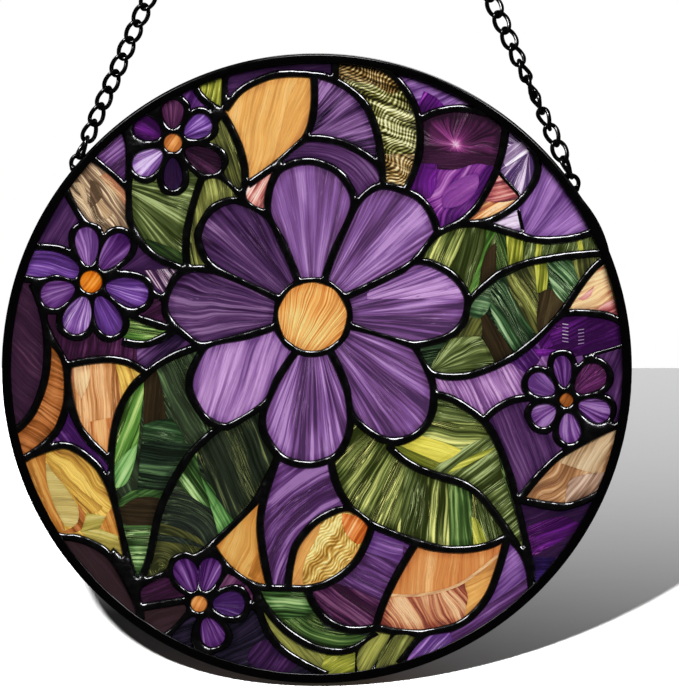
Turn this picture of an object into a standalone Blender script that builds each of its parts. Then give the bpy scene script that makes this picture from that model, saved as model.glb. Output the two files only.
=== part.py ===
"""Stained glass suncatcher: a round leaded panel in a metal hoop, hung by two chain strands.

The panel is drawn in millimetres from the disc's centre, x to the right and y up, on the
parent empty's XY plane. The empty stands that plane upright, so that local +Z faces -Y.
The world origin is where a hook bears on the hanging ring.
"""
import math

import bmesh
import bpy
from mathutils import Vector
from mathutils.geometry import delaunay_2d_cdt

MM = 0.001

# Driving dimensions, in millimetres.
DISC_RADIUS = 100.0
HOOP_FACE = 3.0
HOOP_DEPTH = 7.0
HOOP_LIP = 1.0
HOOP_WEB = 1.1
HOOP_STEPS = 48
PANEL_RADIUS = 98.6
SIGHT_RADIUS = 97.0
SIGHT_MARGIN = 0.2
CAME_DEPTH = 4.4
GLASS_DEPTH = 3.0
LEAD_WIDTH = 2.7
FINE_LEAD_WIDTH = 1.3
SMALLEST_PANE = 7.0
GAP = 0.3

# How finely outlines are drawn, in millimetres or in points round them.
CURVE_STEP = 2.4
OUTLINE_TOLERANCE = 0.5
SMALL_OUTLINE_TOLERANCE = 0.46
SMALL_PANE = 110.0
WELD_DISTANCE = 0.01
TRIANGULATION_DISTANCE = 1e-5
SHARPEST_MITRE = 0.2
DISC_POINTS = 96
EYE_POINTS = 24
EYE_LEAD_POINTS = 32
SMALL_EYE_POINTS = 10
SMALL_EYE_LEAD_POINTS = 16
PETAL_POINTS = 18
PETAL_TAPER = 0.28

HANG_DROP = 245.0
RING_WIRE = 1.6
RING_RADIUS = 5.6
RING_STEPS = 16
RING_SIDES = 6
LOOP_WIRE = 1.1
LOOP_REACH = 2.25
LOOP_HALF_WIDTH = 2.6
LOOP_STEPS = 6
LOOP_SIDES = 6
LOOP_PULL = math.radians(30.0)
LOOP_ANGLE_LEFT = 139.2
LOOP_ANGLE_RIGHT = 36.1
LINK_WIRE = 1.1
LINK_PITCH = 5.7
LINK_WIDTH = 5.8
LINK_BITE = 0.38
LINK_POINTS = 6
LINK_SIDES = 4
LINK_TWIST = math.radians(42.0)
END_LINK_ROLL = (math.pi - LINK_TWIST) / 2
# A strand turns about its length between these two links, counted from the rim.
ROLL_FIRST_LINK = 0.5
ROLL_LAST_LINK = 8.5
ROLL_LEFT = math.radians(40.0)
ROLL_RIGHT = math.radians(180.0)

# The main flower: its eye, the lead between neighbouring petals, and each petal's far edge.
EYE_CENTRE = (-1.4, 16.4)
EYE_RADIUS = 10.8
EYE_LEAD = 2.2
PETAL_SPOKES = (
    ((-6.0, 28.0), (-10.0, 38.0), (-15.5, 48.5)),
    ((2.4, 28.0), (5.5, 37.0), (11.6, 50.5)),
    ((8.8, 22.6), (22.0, 28.6), (31.0, 34.0), (38.5, 43.3)),
    ((10.5, 13.5), (20.0, 10.6), (31.0, 7.2)),
    ((4.0, 6.0), (9.3, -6.0), (10.7, -14.0)),
    ((-6.5, 5.5), (-12.5, -3.5), (-16.0, -11.0)),
    ((-13.0, 13.3), (-25.0, 9.6), (-37.0, 7.3)),
    ((-12.0, 22.0), (-20.0, 26.0), (-30.0, 30.3)),
)
PETAL_EDGES = (
    ((-15.5, 48.5), (-15.2, 56.0), (-11.5, 63.3), (-2.3, 65.8), (6.6, 62.5), (11.2, 56.0), (11.6, 50.5)),
    ((11.6, 50.5), (15.0, 55.0), (20.5, 58.0), (29.0, 56.0), (35.0, 51.5), (38.5, 43.3)),
    ((31.0, 34.0), (36.5, 33.3), (43.0, 29.7), (47.8, 23.0), (47.0, 15.5), (42.5, 10.5),
     (36.0, 8.4), (30.0, 7.5)),
    ((31.0, 7.2), (33.5, 2.0), (36.3, -3.0), (37.2, -9.0), (35.5, -17.0), (29.5, -22.2), (22.0, -22.8),
     (15.0, -19.0), (10.7, -14.0)),
    ((10.7, -14.0), (10.2, -20.5), (6.5, -27.5), (-2.0, -30.6), (-11.0, -28.4), (-16.3, -21.5),
     (-17.3, -16.0), (-16.0, -11.0)),
    ((-16.0, -11.0), (-22.0, -14.5), (-28.5, -18.6), (-35.0, -16.2), (-39.8, -9.0), (-40.3, -3.0),
     (-38.0, 3.0), (-35.0, 6.8)),
    ((-37.0, 7.3), (-42.5, 11.0), (-47.2, 16.0), (-48.3, 22.0), (-44.0, 29.8), (-37.5, 31.8), (-30.0, 30.3)),
    ((-30.0, 30.3), (-34.8, 34.0), (-37.8, 42.0), (-33.5, 50.5), (-25.0, 53.3), (-15.5, 48.5)),
)

# Small flowers: centre, eye radius, petals as (direction in degrees, inner reach, tip reach, width).
SMALL_FLOWER_LEAD = 2.3
SMALL_FLOWERS = {
    "upper": ((-45.7, 71.6), 2.8, ((90, 4.6, 13.6, 6.5), (32, 4.6, 13.8, 7.0), (-28, 4.6, 17.0, 7.4),
                                   (-90, 4.6, 14.8, 5.6), (217, 4.6, 15.0, 7.4), (151, 4.6, 13.4, 7.2))),
    "left": ((-71.7, 27.5), 3.4, ((96, 5.2, 17.4, 7.0), (53, 5.2, 18.4, 7.4), (-15, 5.0, 18.6, 8.6),
                                  (-65, 5.2, 18.4, 7.6), (-111, 5.2, 17.4, 8.2), (199, 5.6, 16.6, 8.0))),
    "right": ((79.3, -10.1), 2.1, ((149, 4.6, 13.6, 6.6), (97, 4.2, 14.2, 5.2), (41, 4.2, 15.4, 8.0),
                                   (-19, 4.2, 14.4, 7.0), (-84, 4.2, 13.6, 6.4), (213, 4.4, 12.4, 6.8))),
    "lower": ((-37.4, -74.8), 2.5, ((113, 4.4, 15.2, 7.2), (72, 4.4, 15.2, 6.8), (0, 4.4, 14.4, 7.6),
                                    (-66, 5.0, 14.6, 7.2))),
}

# Lead lines of the background, each a smooth curve through its points.
LEADS = (
    # upper left
    ((-44.4, 90.0), (-44.3, 86.0), (-41.0, 82.0)),
    ((-39.0, 90.5), (-36.5, 86.0), (-31.0, 82.0), (-29.2, 80.0)),
    ((-28.8, 94.0), (-29.2, 87.0), (-29.3, 81.5)),
    ((-29.3, 82.5), (-25.0, 87.5), (-20.0, 90.8), (-13.0, 93.2), (-6.0, 93.7), (3.0, 92.5), (10.0, 89.0),
     (15.5, 83.5), (19.2, 75.0), (20.0, 66.0), (21.0, 58.0)),
    ((-29.8, 80.5), (-26.8, 75.5), (-24.2, 69.0), (-22.8, 62.0), (-23.4, 53.0)),
    ((-1.0, 93.0), (-0.6, 87.0), (-1.2, 80.5), (-3.8, 73.0)),
    ((-3.6, 72.8), (-12.0, 66.0), (-22.0, 58.2)),
    ((-4.0, 73.2), (3.0, 72.8), (10.0, 70.8), (16.0, 67.5), (20.0, 64.0)),
    ((-71.5, 67.0), (-64.0, 60.2), (-59.5, 57.0)),
    ((-61.5, 78.0), (-59.6, 69.0), (-59.8, 58.0), (-59.6, 48.0), (-55.5, 39.5), (-49.5, 34.5), (-42.0, 31.5)),
    ((-80.0, 57.5), (-77.8, 52.5), (-74.0, 46.5)),
    ((-36.0, 61.5), (-38.5, 55.0), (-40.8, 46.0), (-41.6, 39.0), (-41.0, 32.0)),
    ((-34.5, 81.0), (-31.0, 78.0)),
    ((-33.0, 63.5), (-28.0, 58.5), (-23.0, 54.0)),
    # upper right
    ((5.9, 97.5), (5.7, 91.5)),
    ((19.0, 96.0), (25.5, 92.0), (30.5, 84.5), (32.8, 76.0), (32.0, 66.0), (28.5, 57.0)),
    ((32.6, 79.0), (38.0, 81.5), (45.0, 82.6), (54.0, 81.0)),
    ((60.0, 77.0), (59.2, 70.0), (56.5, 61.5), (51.0, 51.5), (45.0, 46.3), (38.5, 43.0)),
    ((67.5, 70.5), (70.0, 66.0), (69.6, 60.5), (64.5, 53.0), (57.0, 47.8), (50.0, 46.3)),
    ((38.5, 42.8), (45.0, 45.6), (52.0, 45.8), (60.0, 43.8), (70.0, 40.8), (80.0, 41.2), (88.0, 43.5)),
    ((47.8, 20.5), (53.0, 26.0), (60.0, 31.0), (70.0, 34.2), (80.0, 35.3), (91.0, 36.8)),
    ((92.0, 35.5), (86.0, 29.5), (80.0, 20.6), (75.0, 14.3), (67.0, 7.0), (60.0, 2.3), (50.0, -1.8),
     (43.0, -2.7), (36.5, -1.6)),
    ((78.6, 17.6), (85.0, 17.4), (91.0, 17.0), (97.0, 14.6)),
    # right
    ((36.8, -8.0), (44.0, -10.3), (50.0, -14.0), (54.8, -19.0), (58.2, -25.5), (61.5, -34.5), (63.8, -45.0),
     (66.4, -55.0), (67.7, -62.0), (68.2, -70.0)),
    ((53.2, -16.2), (57.5, -12.5), (62.0, -10.2), (68.0, -9.2)),
    ((96.5, -17.5), (89.0, -20.8), (82.0, -24.6), (76.0, -28.6), (70.0, -34.6), (64.2, -42.0)),
    ((63.5, -41.4), (70.0, -43.0), (77.0, -44.0), (83.0, -43.0), (91.5, -38.6)),
    # lower right
    ((23.0, -25.0), (29.0, -30.0), (36.0, -33.3), (44.0, -35.6), (50.5, -39.2), (56.5, -46.0), (62.5, -55.0),
     (66.5, -61.0), (67.8, -67.0)),
    ((24.3, -23.0), (23.0, -26.0)),
    ((4.6, -30.0), (6.2, -36.5), (10.0, -43.5), (16.0, -48.7), (24.0, -52.6), (36.0, -56.6), (45.0, -57.6),
     (54.0, -56.4), (61.5, -52.8)),
    ((31.5, -55.5), (27.2, -62.5), (23.0, -70.5), (19.8, -78.0), (18.6, -83.5)),
    ((60.9, -53.6), (59.2, -58.0), (58.0, -63.0), (55.0, -71.0), (50.0, -78.0), (43.0, -82.3),
     (34.0, -84.2), (25.0, -83.6), (18.6, -82.4), (10.0, -82.9), (4.0, -80.6), (0.0, -76.5), (-3.2, -70.2)),
    ((17.6, -50.0), (14.5, -58.0), (10.2, -63.6), (5.0, -67.4), (-1.0, -69.6), (-10.0, -70.0), (-18.5, -69.4),
     (-25.0, -66.2), (-30.0, -61.5), (-33.0, -57.0)),
    ((10.0, -44.4), (4.5, -45.9), (-1.0, -49.3), (-5.5, -54.5), (-8.2, -61.0), (-9.2, -69.5)),
    ((19.0, -83.8), (14.5, -87.7), (9.0, -89.9), (3.0, -89.6), (-4.0, -87.2), (-11.0, -82.2), (-16.5, -75.6),
     (-20.0, -69.0)),
    ((-20.0, -70.0), (-17.8, -79.0), (-14.0, -86.0), (-8.5, -91.2), (-2.0, -94.6), (3.5, -97.5)),
    ((34.0, -84.4), (30.0, -89.0), (26.0, -94.0)),
    # lower left
    ((-12.5, -28.6), (-15.8, -35.5), (-20.0, -43.0), (-25.0, -48.6), (-32.0, -55.0), (-38.5, -60.0)),
    ((-13.0, -30.5), (-16.5, -40.0), (-18.0, -50.0), (-16.8, -60.0), (-15.0, -69.0)),
    ((-30.5, -18.4), (-38.0, -24.8), (-44.0, -33.0), (-49.8, -45.0), (-53.2, -60.0), (-56.6, -69.0)),
    ((-34.0, 7.5), (-40.0, 6.2), (-48.0, 2.7), (-54.3, -1.8), (-60.0, -8.0), (-63.8, -17.0), (-65.3, -27.0),
     (-65.2, -38.0), (-62.7, -50.0), (-60.3, -60.0), (-57.2, -70.0), (-55.8, -80.0)),
    ((-54.0, -1.5), (-60.0, 1.8), (-66.5, 2.9), (-73.0, 2.4), (-79.5, 1.0)),
    ((-86.5, 14.0), (-83.5, 8.0), (-79.8, 1.5), (-79.0, -6.0), (-77.5, -14.0), (-74.3, -20.5), (-69.5, -25.8),
     (-65.4, -29.5)),
    ((-90.5, 27.0), (-88.0, 21.0), (-86.2, 14.0), (-85.6, 5.0), (-87.0, -6.0), (-91.0, -15.0),
     (-97.0, -21.0)),
    ((-79.0, 0.0), (-79.3, -10.0), (-82.0, -18.8), (-86.0, -23.6), (-91.0, -27.6), (-97.0, -30.5)),
    ((-96.0, -30.6), (-89.0, -26.8), (-81.0, -24.4), (-75.0, -26.6), (-69.0, -32.0), (-65.0, -40.0)),
    ((-85.5, -53.0), (-76.0, -54.0), (-69.5, -56.6), (-65.0, -60.2), (-61.5, -65.5),
     (-58.0, -72.5), (-56.2, -78.0)),
    ((-65.5, -57.8), (-61.8, -61.5), (-59.0, -68.0)),
    ((-94.0, 37.0), (-88.0, 38.6), (-82.0, 38.0), (-77.5, 36.0), (-74.5, 32.6)),
    ((-95.0, 28.8), (-87.0, 27.8), (-80.0, 27.6), (-76.0, 26.0)),
    ((-66.5, 29.8), (-60.0, 29.9), (-54.5, 28.0), (-52.0, 23.5), (-47.8, 22.5)),
    ((-61.0, 18.0), (-56.0, 15.5), (-50.5, 13.6), (-45.5, 13.0)),
    ((-62.0, 8.6), (-55.5, 7.6), (-50.0, 9.2), (-45.0, 12.4)),
    ((-41.0, -73.6), (-48.0, -74.3), (-56.5, -76.2)),
    ((-45.5, -64.4), (-49.5, -65.6), (-53.0, -67.0), (-57.0, -70.0)),
    ((-23.0, -74.8), (-18.5, -76.0)),
    ((-39.5, -77.0), (-44.0, -80.8), (-48.5, -86.0)),
    ((-36.0, -78.0), (-38.6, -84.0), (-38.0, -90.5)),
)

# Fine lead lines between two pieces of like colour.
FINE_LEADS = (
    ((57.5, 62.5), (64.8, 54.5)),
    ((64.0, 50.5), (65.8, 42.0)),
    ((84.5, 3.5), (90.0, 5.0), (97.5, 7.2)),
    ((12.8, -89.0), (12.6, -97.0)),
    ((24.2, -84.5), (20.5, -90.5), (17.0, -97.0)),
)

GLASS_COLOURS = {
    "amber": (0.90, 0.42, 0.07),
    "peach": (0.85, 0.50, 0.24),
    "tan": (0.62, 0.43, 0.25),
    "leaf_green": (0.20, 0.34, 0.07),
    "dark_green": (0.05, 0.10, 0.05),
    "yellow_green": (0.52, 0.56, 0.12),
    "violet": (0.30, 0.13, 0.42),
    "lilac": (0.46, 0.27, 0.58),
    "plum": (0.11, 0.04, 0.12),
    "maroon": (0.12, 0.03, 0.07),
    "coral": (0.72, 0.30, 0.20),
}

# Panes with a solid of their own: node name, glass colour, and a point inside the pane.
PANES = (
    ("eye_glass", "amber", (-1.4, 16.4)),
    ("petal_top", "violet", (-1.5, 51.0)),
    ("petal_upper_right", "violet", (21.0, 42.0)),
    ("petal_right", "violet", (34.0, 20.0)),
    ("petal_lower_right", "violet", (23.0, -9.0)),
    ("petal_bottom", "violet", (-2.5, -15.0)),
    ("petal_lower_left", "lilac", (-27.0, -3.0)),
    ("petal_left", "plum", (-33.0, 20.0)),
    ("petal_upper_left", "plum", (-25.0, 39.0)),
    ("leaf_left", "dark_green", (-49.0, -22.0)),
    ("leaf_lower_left", "dark_green", (-36.7, -47.0)),
    ("leaf_lower_right", "leaf_green", (26.7, -37.8)),
    ("leaf_right", "leaf_green", (56.0, 14.0)),
    ("leaf_upper_right", "leaf_green", (57.0, 35.4)),
    ("leaf_upper_left", "leaf_green", (-50.3, 50.2)),
    ("leaf_streaked", "yellow_green", (44.0, -27.0)),
    ("leaf_olive", "leaf_green", (-34.0, 54.5)),
    ("leaf_sliver", "leaf_green", (-27.5, 68.0)),
    ("ripple_green_top", "yellow_green", (26.0, 80.0)),
    ("ripple_amber_bottom", "amber", (3.5, -58.0)),
    ("crescent_green", "leaf_green", (0.0, -81.5)),
    ("strip_green", "yellow_green", (-2.4, -90.0)),
    ("trunk_violet", "violet", (-6.0, -45.0)),
    ("crescent_violet", "violet", (10.0, 67.0)),
    ("band_lilac", "lilac", (55.0, -5.0)),
    ("pane_amber_top", "amber", (-17.0, 80.6)),
    ("pane_violet_top", "violet", (8.8, 79.4)),
    ("strip_violet_top", "plum", (-12.0, 95.3)),
    ("pane_violet_top_right", "violet", (36.0, 86.6)),
    ("pane_magenta", "maroon", (45.0, 65.0)),
    ("pane_coral", "coral", (54.5, 50.5)),
    ("pane_lilac", "lilac", (65.0, 65.7)),
    ("pane_violet_upper_right", "violet", (73.0, 51.4)),
    ("pane_peach_right", "peach", (90.0, 23.0)),
    ("pane_violet_right", "violet", (67.5, -21.6)),
    ("pane_tan_right", "tan", (82.4, -34.0)),
    ("pane_plum_right", "plum", (76.0, -51.7)),
    ("strip_violet_right", "violet", (60.0, -68.0)),
    ("pane_amber_bottom", "amber", (40.0, -70.0)),
    ("pane_plum_bottom", "plum", (12.9, -70.0)),
    ("pane_amber_low", "amber", (-22.0, -56.0)),
    ("pane_plum_bottom_left", "plum", (-22.4, -81.5)),
    ("pane_maroon_bottom", "maroon", (-48.4, -78.9)),
    ("pane_maroon_low", "maroon", (-68.7, -64.0)),
    ("pane_yellow", "amber", (-76.4, -43.0)),
    ("pane_peach_left", "peach", (-67.0, -10.0)),
    ("crescent_brown", "tan", (-86.6, -10.7)),
    ("pane_maroon_rim", "maroon", (-91.8, 6.0)),
    ("pane_plum_left", "plum", (-70.0, 5.5)),
    ("pane_plum_middle", "plum", (-56.0, 33.0)),
    ("petal_at_rim", "violet", (-82.6, 32.0)),
    ("pane_violet_left", "violet", (-81.0, 44.0)),
    ("pane_tan_left", "tan", (-67.0, 49.5)),
)


def clear_scene():
    """Remove every object that the file starts with."""
    for item in list(bpy.data.objects):
        bpy.data.objects.remove(item, do_unlink=True)


def make_material(name, colour, roughness, metallic):
    """A Principled material of one colour."""
    material = bpy.data.materials.new(name)
    material.use_nodes = True
    shader = material.node_tree.nodes["Principled BSDF"]
    shader.inputs["Base Color"].default_value = (*colour, 1.0)
    shader.inputs["Roughness"].default_value = roughness
    shader.inputs["Metallic"].default_value = metallic
    return material


def smooth_curve(points, step=CURVE_STEP):
    """Points along the Catmull-Rom curve through the given points, about a step apart."""
    knots = [Vector(point) for point in points]
    knots = [2 * knots[0] - knots[1], *knots, 2 * knots[-1] - knots[-2]]
    curve = []
    for before, start, end, after in zip(knots, knots[1:], knots[2:], knots[3:]):
        count = max(1, round((end - start).length / step))
        for index in range(count):
            t = index / count
            curve.append(0.5 * (2 * start + (end - before) * t
                                + (2 * before - 5 * start + 4 * end - after) * t ** 2
                                + (3 * start - before - 3 * end + after) * t ** 3))
    curve.append(knots[-2])
    return curve


def circle(centre, radius, count, start=0.0):
    """Points of a regular polygon around a centre."""
    angles = [start + 2 * math.pi * index / count for index in range(count)]
    return [Vector((centre[0] + radius * math.cos(a), centre[1] + radius * math.sin(a))) for a in angles]


def petal(centre, direction, inner, reach, width, grow=0.0):
    """Teardrop outline of a petal that points away from the centre."""
    along = Vector((math.cos(math.radians(direction)), math.sin(math.radians(direction))))
    across = Vector((-along.y, along.x))
    middle = 0.5 * (inner + reach)
    half_length = 0.5 * (reach - inner) + grow
    half_width = 0.5 * width + grow
    outline = []
    for index in range(PETAL_POINTS):
        turn = 2 * math.pi * index / PETAL_POINTS
        taper = 1 + PETAL_TAPER * math.cos(turn)
        distance = middle + half_length * math.cos(turn)
        offset = half_width * math.sin(turn) * taper
        outline.append(Vector(centre) + along * distance + across * offset)
    return outline


def strip_quads(line, width):
    """Four-sided pieces of a strip of even width along a line."""
    sides = []
    for index, point in enumerate(line):
        ahead = line[min(index + 1, len(line) - 1)]
        behind = line[max(index - 1, 0)]
        tangent = (ahead - behind).normalized()
        across = Vector((-tangent.y, tangent.x)) * width / 2
        sides.append((point + across, point - across))
    return [[a[0], a[1], b[1], b[0]] for a, b in zip(sides, sides[1:])]


def lead_regions():
    """Every outline that is lead, and every small petal or eye that is cut back out of it."""
    lead = []
    for line in (*PETAL_SPOKES, *PETAL_EDGES, *LEADS):
        lead += strip_quads(smooth_curve(line), LEAD_WIDTH)
    for line in FINE_LEADS:
        lead += strip_quads(smooth_curve(line), FINE_LEAD_WIDTH)
    lead.append(circle(EYE_CENTRE, EYE_RADIUS + EYE_LEAD, EYE_LEAD_POINTS))
    cut_out = [circle(EYE_CENTRE, EYE_RADIUS, EYE_POINTS)]
    for centre, eye_radius, petals in SMALL_FLOWERS.values():
        lead.append(circle(centre, eye_radius + SMALL_FLOWER_LEAD, SMALL_EYE_LEAD_POINTS))
        cut_out.append(circle(centre, eye_radius, SMALL_EYE_POINTS))
        for shape in petals:
            lead.append(petal(centre, *shape, grow=SMALL_FLOWER_LEAD))
            cut_out.append(petal(centre, *shape))
    return lead, cut_out


def fill(outlines):
    """Points and triangles of the area of some outlines, with the outlines that hold each triangle."""
    points = []
    faces = []
    for outline in outlines:
        ordered = outline if area(outline) > 0 else outline[::-1]
        faces.append(list(range(len(points), len(points) + len(ordered))))
        points += ordered
    result = delaunay_2d_cdt(points, [], faces, 1, TRIANGULATION_DISTANCE)
    return result[0], list(zip(result[2], result[5]))


def triangulate(lead, cut_out):
    """Split the disc into triangles along every outline, and mark those that are glass."""
    sight = circle((0, 0), SIGHT_RADIUS + SIGHT_MARGIN, DISC_POINTS)
    points, triangles = fill([sight, *lead, *cut_out])
    glass = []
    for triangle, inside in triangles:
        in_lead = any(0 < index <= len(lead) for index in inside)
        in_cut_out = any(index > len(lead) for index in inside)
        if 0 in inside and (in_cut_out or not in_lead):
            holder = max(index if index > len(lead) else 0 for index in inside)
            glass.append((tuple(triangle), holder))
    return points, glass


def group_triangles(glass):
    """Join glass triangles that share an edge and an outline into panes."""
    by_edge = {}
    for index, (triangle, _) in enumerate(glass):
        for a, b in zip(triangle, triangle[1:] + triangle[:1]):
            by_edge.setdefault(frozenset((a, b)), []).append(index)
    neighbours = {index: [] for index in range(len(glass))}
    for sharing in by_edge.values():
        if len(sharing) == 2 and glass[sharing[0]][1] == glass[sharing[1]][1]:
            neighbours[sharing[0]].append(sharing[1])
            neighbours[sharing[1]].append(sharing[0])
    groups = []
    waiting = set(neighbours)
    while waiting:
        stack = [waiting.pop()]
        group = []
        while stack:
            index = stack.pop()
            group.append(glass[index][0])
            for other in neighbours[index]:
                if other in waiting:
                    waiting.remove(other)
                    stack.append(other)
        groups.append(group)
    return groups


def outer_loop(points, triangles):
    """The outline of a group of triangles, anticlockwise."""
    following = {}
    edges = {(a, b) for tri in triangles for a, b in zip(tri, tri[1:] + tri[:1])}
    for a, b in edges:
        if (b, a) not in edges:
            following.setdefault(a, []).append(b)
    loops = []
    while following:
        start = next(iter(following))
        loop = [start]
        while True:
            options = following[loop[-1]]
            step = options.pop()
            if not options:
                del following[loop[-1]]
            if step == start:
                break
            loop.append(step)
        loops.append([points[index] for index in loop])
    return max(loops, key=area)


def area(loop):
    """Signed area of a closed outline."""
    return 0.5 * sum(a.x * b.y - b.x * a.y for a, b in zip(loop, loop[1:] + loop[:1]))


def simplified(loop, tolerance):
    """Drop the points whose loss moves the outline least, while the move stays in tolerance."""
    kept = list(loop)
    while len(kept) > 4:
        moves = []
        for index, point in enumerate(kept):
            before, after = kept[index - 1], kept[(index + 1) % len(kept)]
            chord = after - before
            height = abs(chord.x * (point - before).y - chord.y * (point - before).x)
            moves.append((height / max(chord.length, 1e-6), index))
        move, index = min(moves)
        if move > tolerance:
            break
        kept.pop(index)
    return kept


def inset(loop, distance):
    """The outline moved inwards by an even distance."""
    moved = []
    for index, point in enumerate(loop):
        before = (point - loop[index - 1]).normalized()
        after = (loop[(index + 1) % len(loop)] - point).normalized()
        normal_in = Vector((-before.y, before.x))
        normal_out = Vector((-after.y, after.x))
        bisector = (normal_in + normal_out).normalized()
        moved.append(point + bisector * distance / max(SHARPEST_MITRE, bisector.dot(normal_in)))
    return moved


def pane_outlines():
    """Outlines of all the openings that the lead leaves for glass."""
    points, glass = triangulate(*lead_regions())
    outlines = []
    for group in group_triangles(glass):
        loop = outer_loop(points, group)
        if area(loop) >= SMALLEST_PANE:
            tolerance = SMALL_OUTLINE_TOLERANCE if area(loop) < SMALL_PANE else OUTLINE_TOLERANCE
            outlines.append(simplified(loop, tolerance))
    return outlines


def contains(loop, point):
    """Whether a closed outline holds a point."""
    inside = False
    for a, b in zip(loop, loop[1:] + loop[:1]):
        if (a.y > point[1]) != (b.y > point[1]):
            if point[0] < a.x + (point[1] - a.y) * (b.x - a.x) / (b.y - a.y):
                inside = not inside
    return inside


def add_object(name, mesh, material, collection, stand):
    """Link a mesh into a collection on the panel's stand."""
    item = bpy.data.objects.new(name, mesh)
    item.parent = stand
    mesh.materials.clear()
    mesh.materials.append(material)
    collection.objects.link(item)
    return item


def mesh_from_curve(curve):
    """Turn a curve in millimetres into a welded, closed mesh in metres that faces outwards."""
    carrier = bpy.data.objects.new(curve.name, curve)
    bpy.context.scene.collection.objects.link(carrier)
    bpy.context.view_layer.update()
    evaluated = carrier.evaluated_get(bpy.context.evaluated_depsgraph_get())
    mesh = bpy.data.meshes.new_from_object(evaluated)
    bpy.data.objects.remove(carrier, do_unlink=True)
    shell = bmesh.new()
    shell.from_mesh(mesh)
    bmesh.ops.remove_doubles(shell, verts=shell.verts, dist=WELD_DISTANCE)
    bmesh.ops.recalc_face_normals(shell, faces=shell.faces)
    bmesh.ops.scale(shell, vec=(MM, MM, MM), verts=shell.verts)
    shell.to_mesh(mesh)
    shell.free()
    return mesh


def add_spline(curve, points, closed):
    """Add a straight-sided spline to a curve."""
    spline = curve.splines.new("POLY")
    spline.points.add(len(points) - 1)
    for knot, point in zip(spline.points, points):
        knot.co = (*Vector(point).to_3d(), 1.0)
    spline.use_cyclic_u = closed


def plate(name, loop, depth):
    """Mesh of a flat plate with the given outline."""
    curve = bpy.data.curves.new(name, "CURVE")
    curve.dimensions = "2D"
    curve.fill_mode = "BOTH"
    curve.extrude = depth / 2
    add_spline(curve, loop, closed=True)
    return mesh_from_curve(curve)


def wire(name, lines, diameter, sides, closed):
    """Mesh of round wires along the given centre-lines."""
    curve = bpy.data.curves.new(name, "CURVE")
    curve.dimensions = "3D"
    curve.bevel_depth = diameter / 2
    curve.bevel_resolution = sides // 2 - 2
    curve.use_fill_caps = not closed
    for line in lines:
        add_spline(curve, line, closed)
    mesh = mesh_from_curve(curve)
    mesh.shade_smooth()
    return mesh


def add_cut(item, operation, other):
    """Combine a shape with another, and keep the other one as a wire outline."""
    other.display_type = "WIRE"
    other.hide_render = True
    cut = item.modifiers.new(operation.lower(), "BOOLEAN")
    cut.operation = operation
    cut.solver = "EXACT"
    cut.object = other


def add_came(openings, material, collection, stand):
    """The leadwork: a disc with an opening for every pane.

    Its face is triangulated here, because a filled curve can't take ninety openings.
    """
    rim = circle((0.0, 0.0), PANEL_RADIUS, HOOP_STEPS)
    points, triangles = fill([rim, *openings])
    faces = [triangle for triangle, inside in triangles if list(inside) == [0]]
    mesh = bpy.data.meshes.new("lead_came")
    mesh.from_pydata([MM * point.to_3d() for point in points], [], faces)
    came = add_object("lead_came", mesh, material, collection, stand)
    depth = came.modifiers.new("depth", "SOLIDIFY")
    depth.thickness = CAME_DEPTH * MM
    depth.offset = 0.0


def hoop_mesh():
    """Profile of the channel that grips the panel, open towards the centre."""
    inner = DISC_RADIUS - HOOP_FACE
    web = DISC_RADIUS - HOOP_WEB
    outer = HOOP_DEPTH / 2
    lip = outer - HOOP_LIP
    profile = [
        (DISC_RADIUS, outer), (DISC_RADIUS, -outer), (inner, -outer), (inner, -lip),
        (web, -lip), (web, lip), (inner, lip), (inner, outer),
    ]
    mesh = bpy.data.meshes.new("frame_ring")
    edges = [(index, (index + 1) % len(profile)) for index in range(len(profile))]
    mesh.from_pydata([(MM * radius, 0.0, MM * height) for radius, height in profile], edges, [])
    return mesh


def add_hoop(material, collection, stand):
    """The metal ring around the panel, turned from its profile."""
    hoop = add_object("frame_ring", hoop_mesh(), material, collection, stand)
    screw = hoop.modifiers.new("turn", "SCREW")
    screw.axis = "Z"
    screw.angle = 2 * math.pi
    screw.steps = HOOP_STEPS
    screw.render_steps = HOOP_STEPS
    screw.use_merge_vertices = True
    screw.merge_threshold = WELD_DISTANCE * MM
    screw.use_smooth_shade = False


def loop_frame(angle):
    """Directions away from the disc's centre and along its rim towards the top."""
    outward = Vector((math.cos(math.radians(angle)), math.sin(math.radians(angle)), 0.0))
    along = Vector((outward.y, -outward.x, 0.0)) if outward.x < 0 else Vector((-outward.y, outward.x, 0.0))
    return outward, along


def loop_point(angle, turn):
    """A point of a rim loop's centre-line, from its foot nearest the top to its other foot."""
    outward, along = loop_frame(angle)
    reach = DISC_RADIUS + GAP + LOOP_REACH * math.sin(turn)
    return outward * reach + along * LOOP_HALF_WIDTH * math.cos(turn)


def strand_ends(angle):
    """Where a strand's first and last links turn around the rim loop and the hanging ring."""
    ring_centre = Vector((0.0, HANG_DROP - RING_RADIUS + RING_WIRE / 2, 0.0))
    hook = loop_point(angle, LOOP_PULL)
    pull = (ring_centre - hook).normalized()
    start = hook - pull * ((LOOP_WIRE + LINK_WIRE) / 2 + GAP)
    end = ring_centre - pull * (RING_RADIUS - (RING_WIRE + LINK_WIRE) / 2 - GAP)
    return start, end, pull


def link_line(centre, along, length, roll, twist):
    """Centre-line of a link: an oval with its two ends turned opposite ways about its length."""
    side = Vector((-along.y, along.x, 0.0))
    front = Vector((0.0, 0.0, 1.0))
    line = []
    for index in range(LINK_POINTS):
        turn = math.pi * (2 * index + 1) / LINK_POINTS
        lengthwise = length / 2 * math.cos(turn) / math.cos(math.pi / LINK_POINTS)
        crosswise = (LINK_WIDTH - LINK_WIRE) / 2 * math.sin(turn)
        angle = roll + twist * math.cos(turn)
        offset = side * math.cos(angle) + front * math.sin(angle)
        line.append(centre + along * lengthwise + offset * crosswise)
    return line


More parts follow.
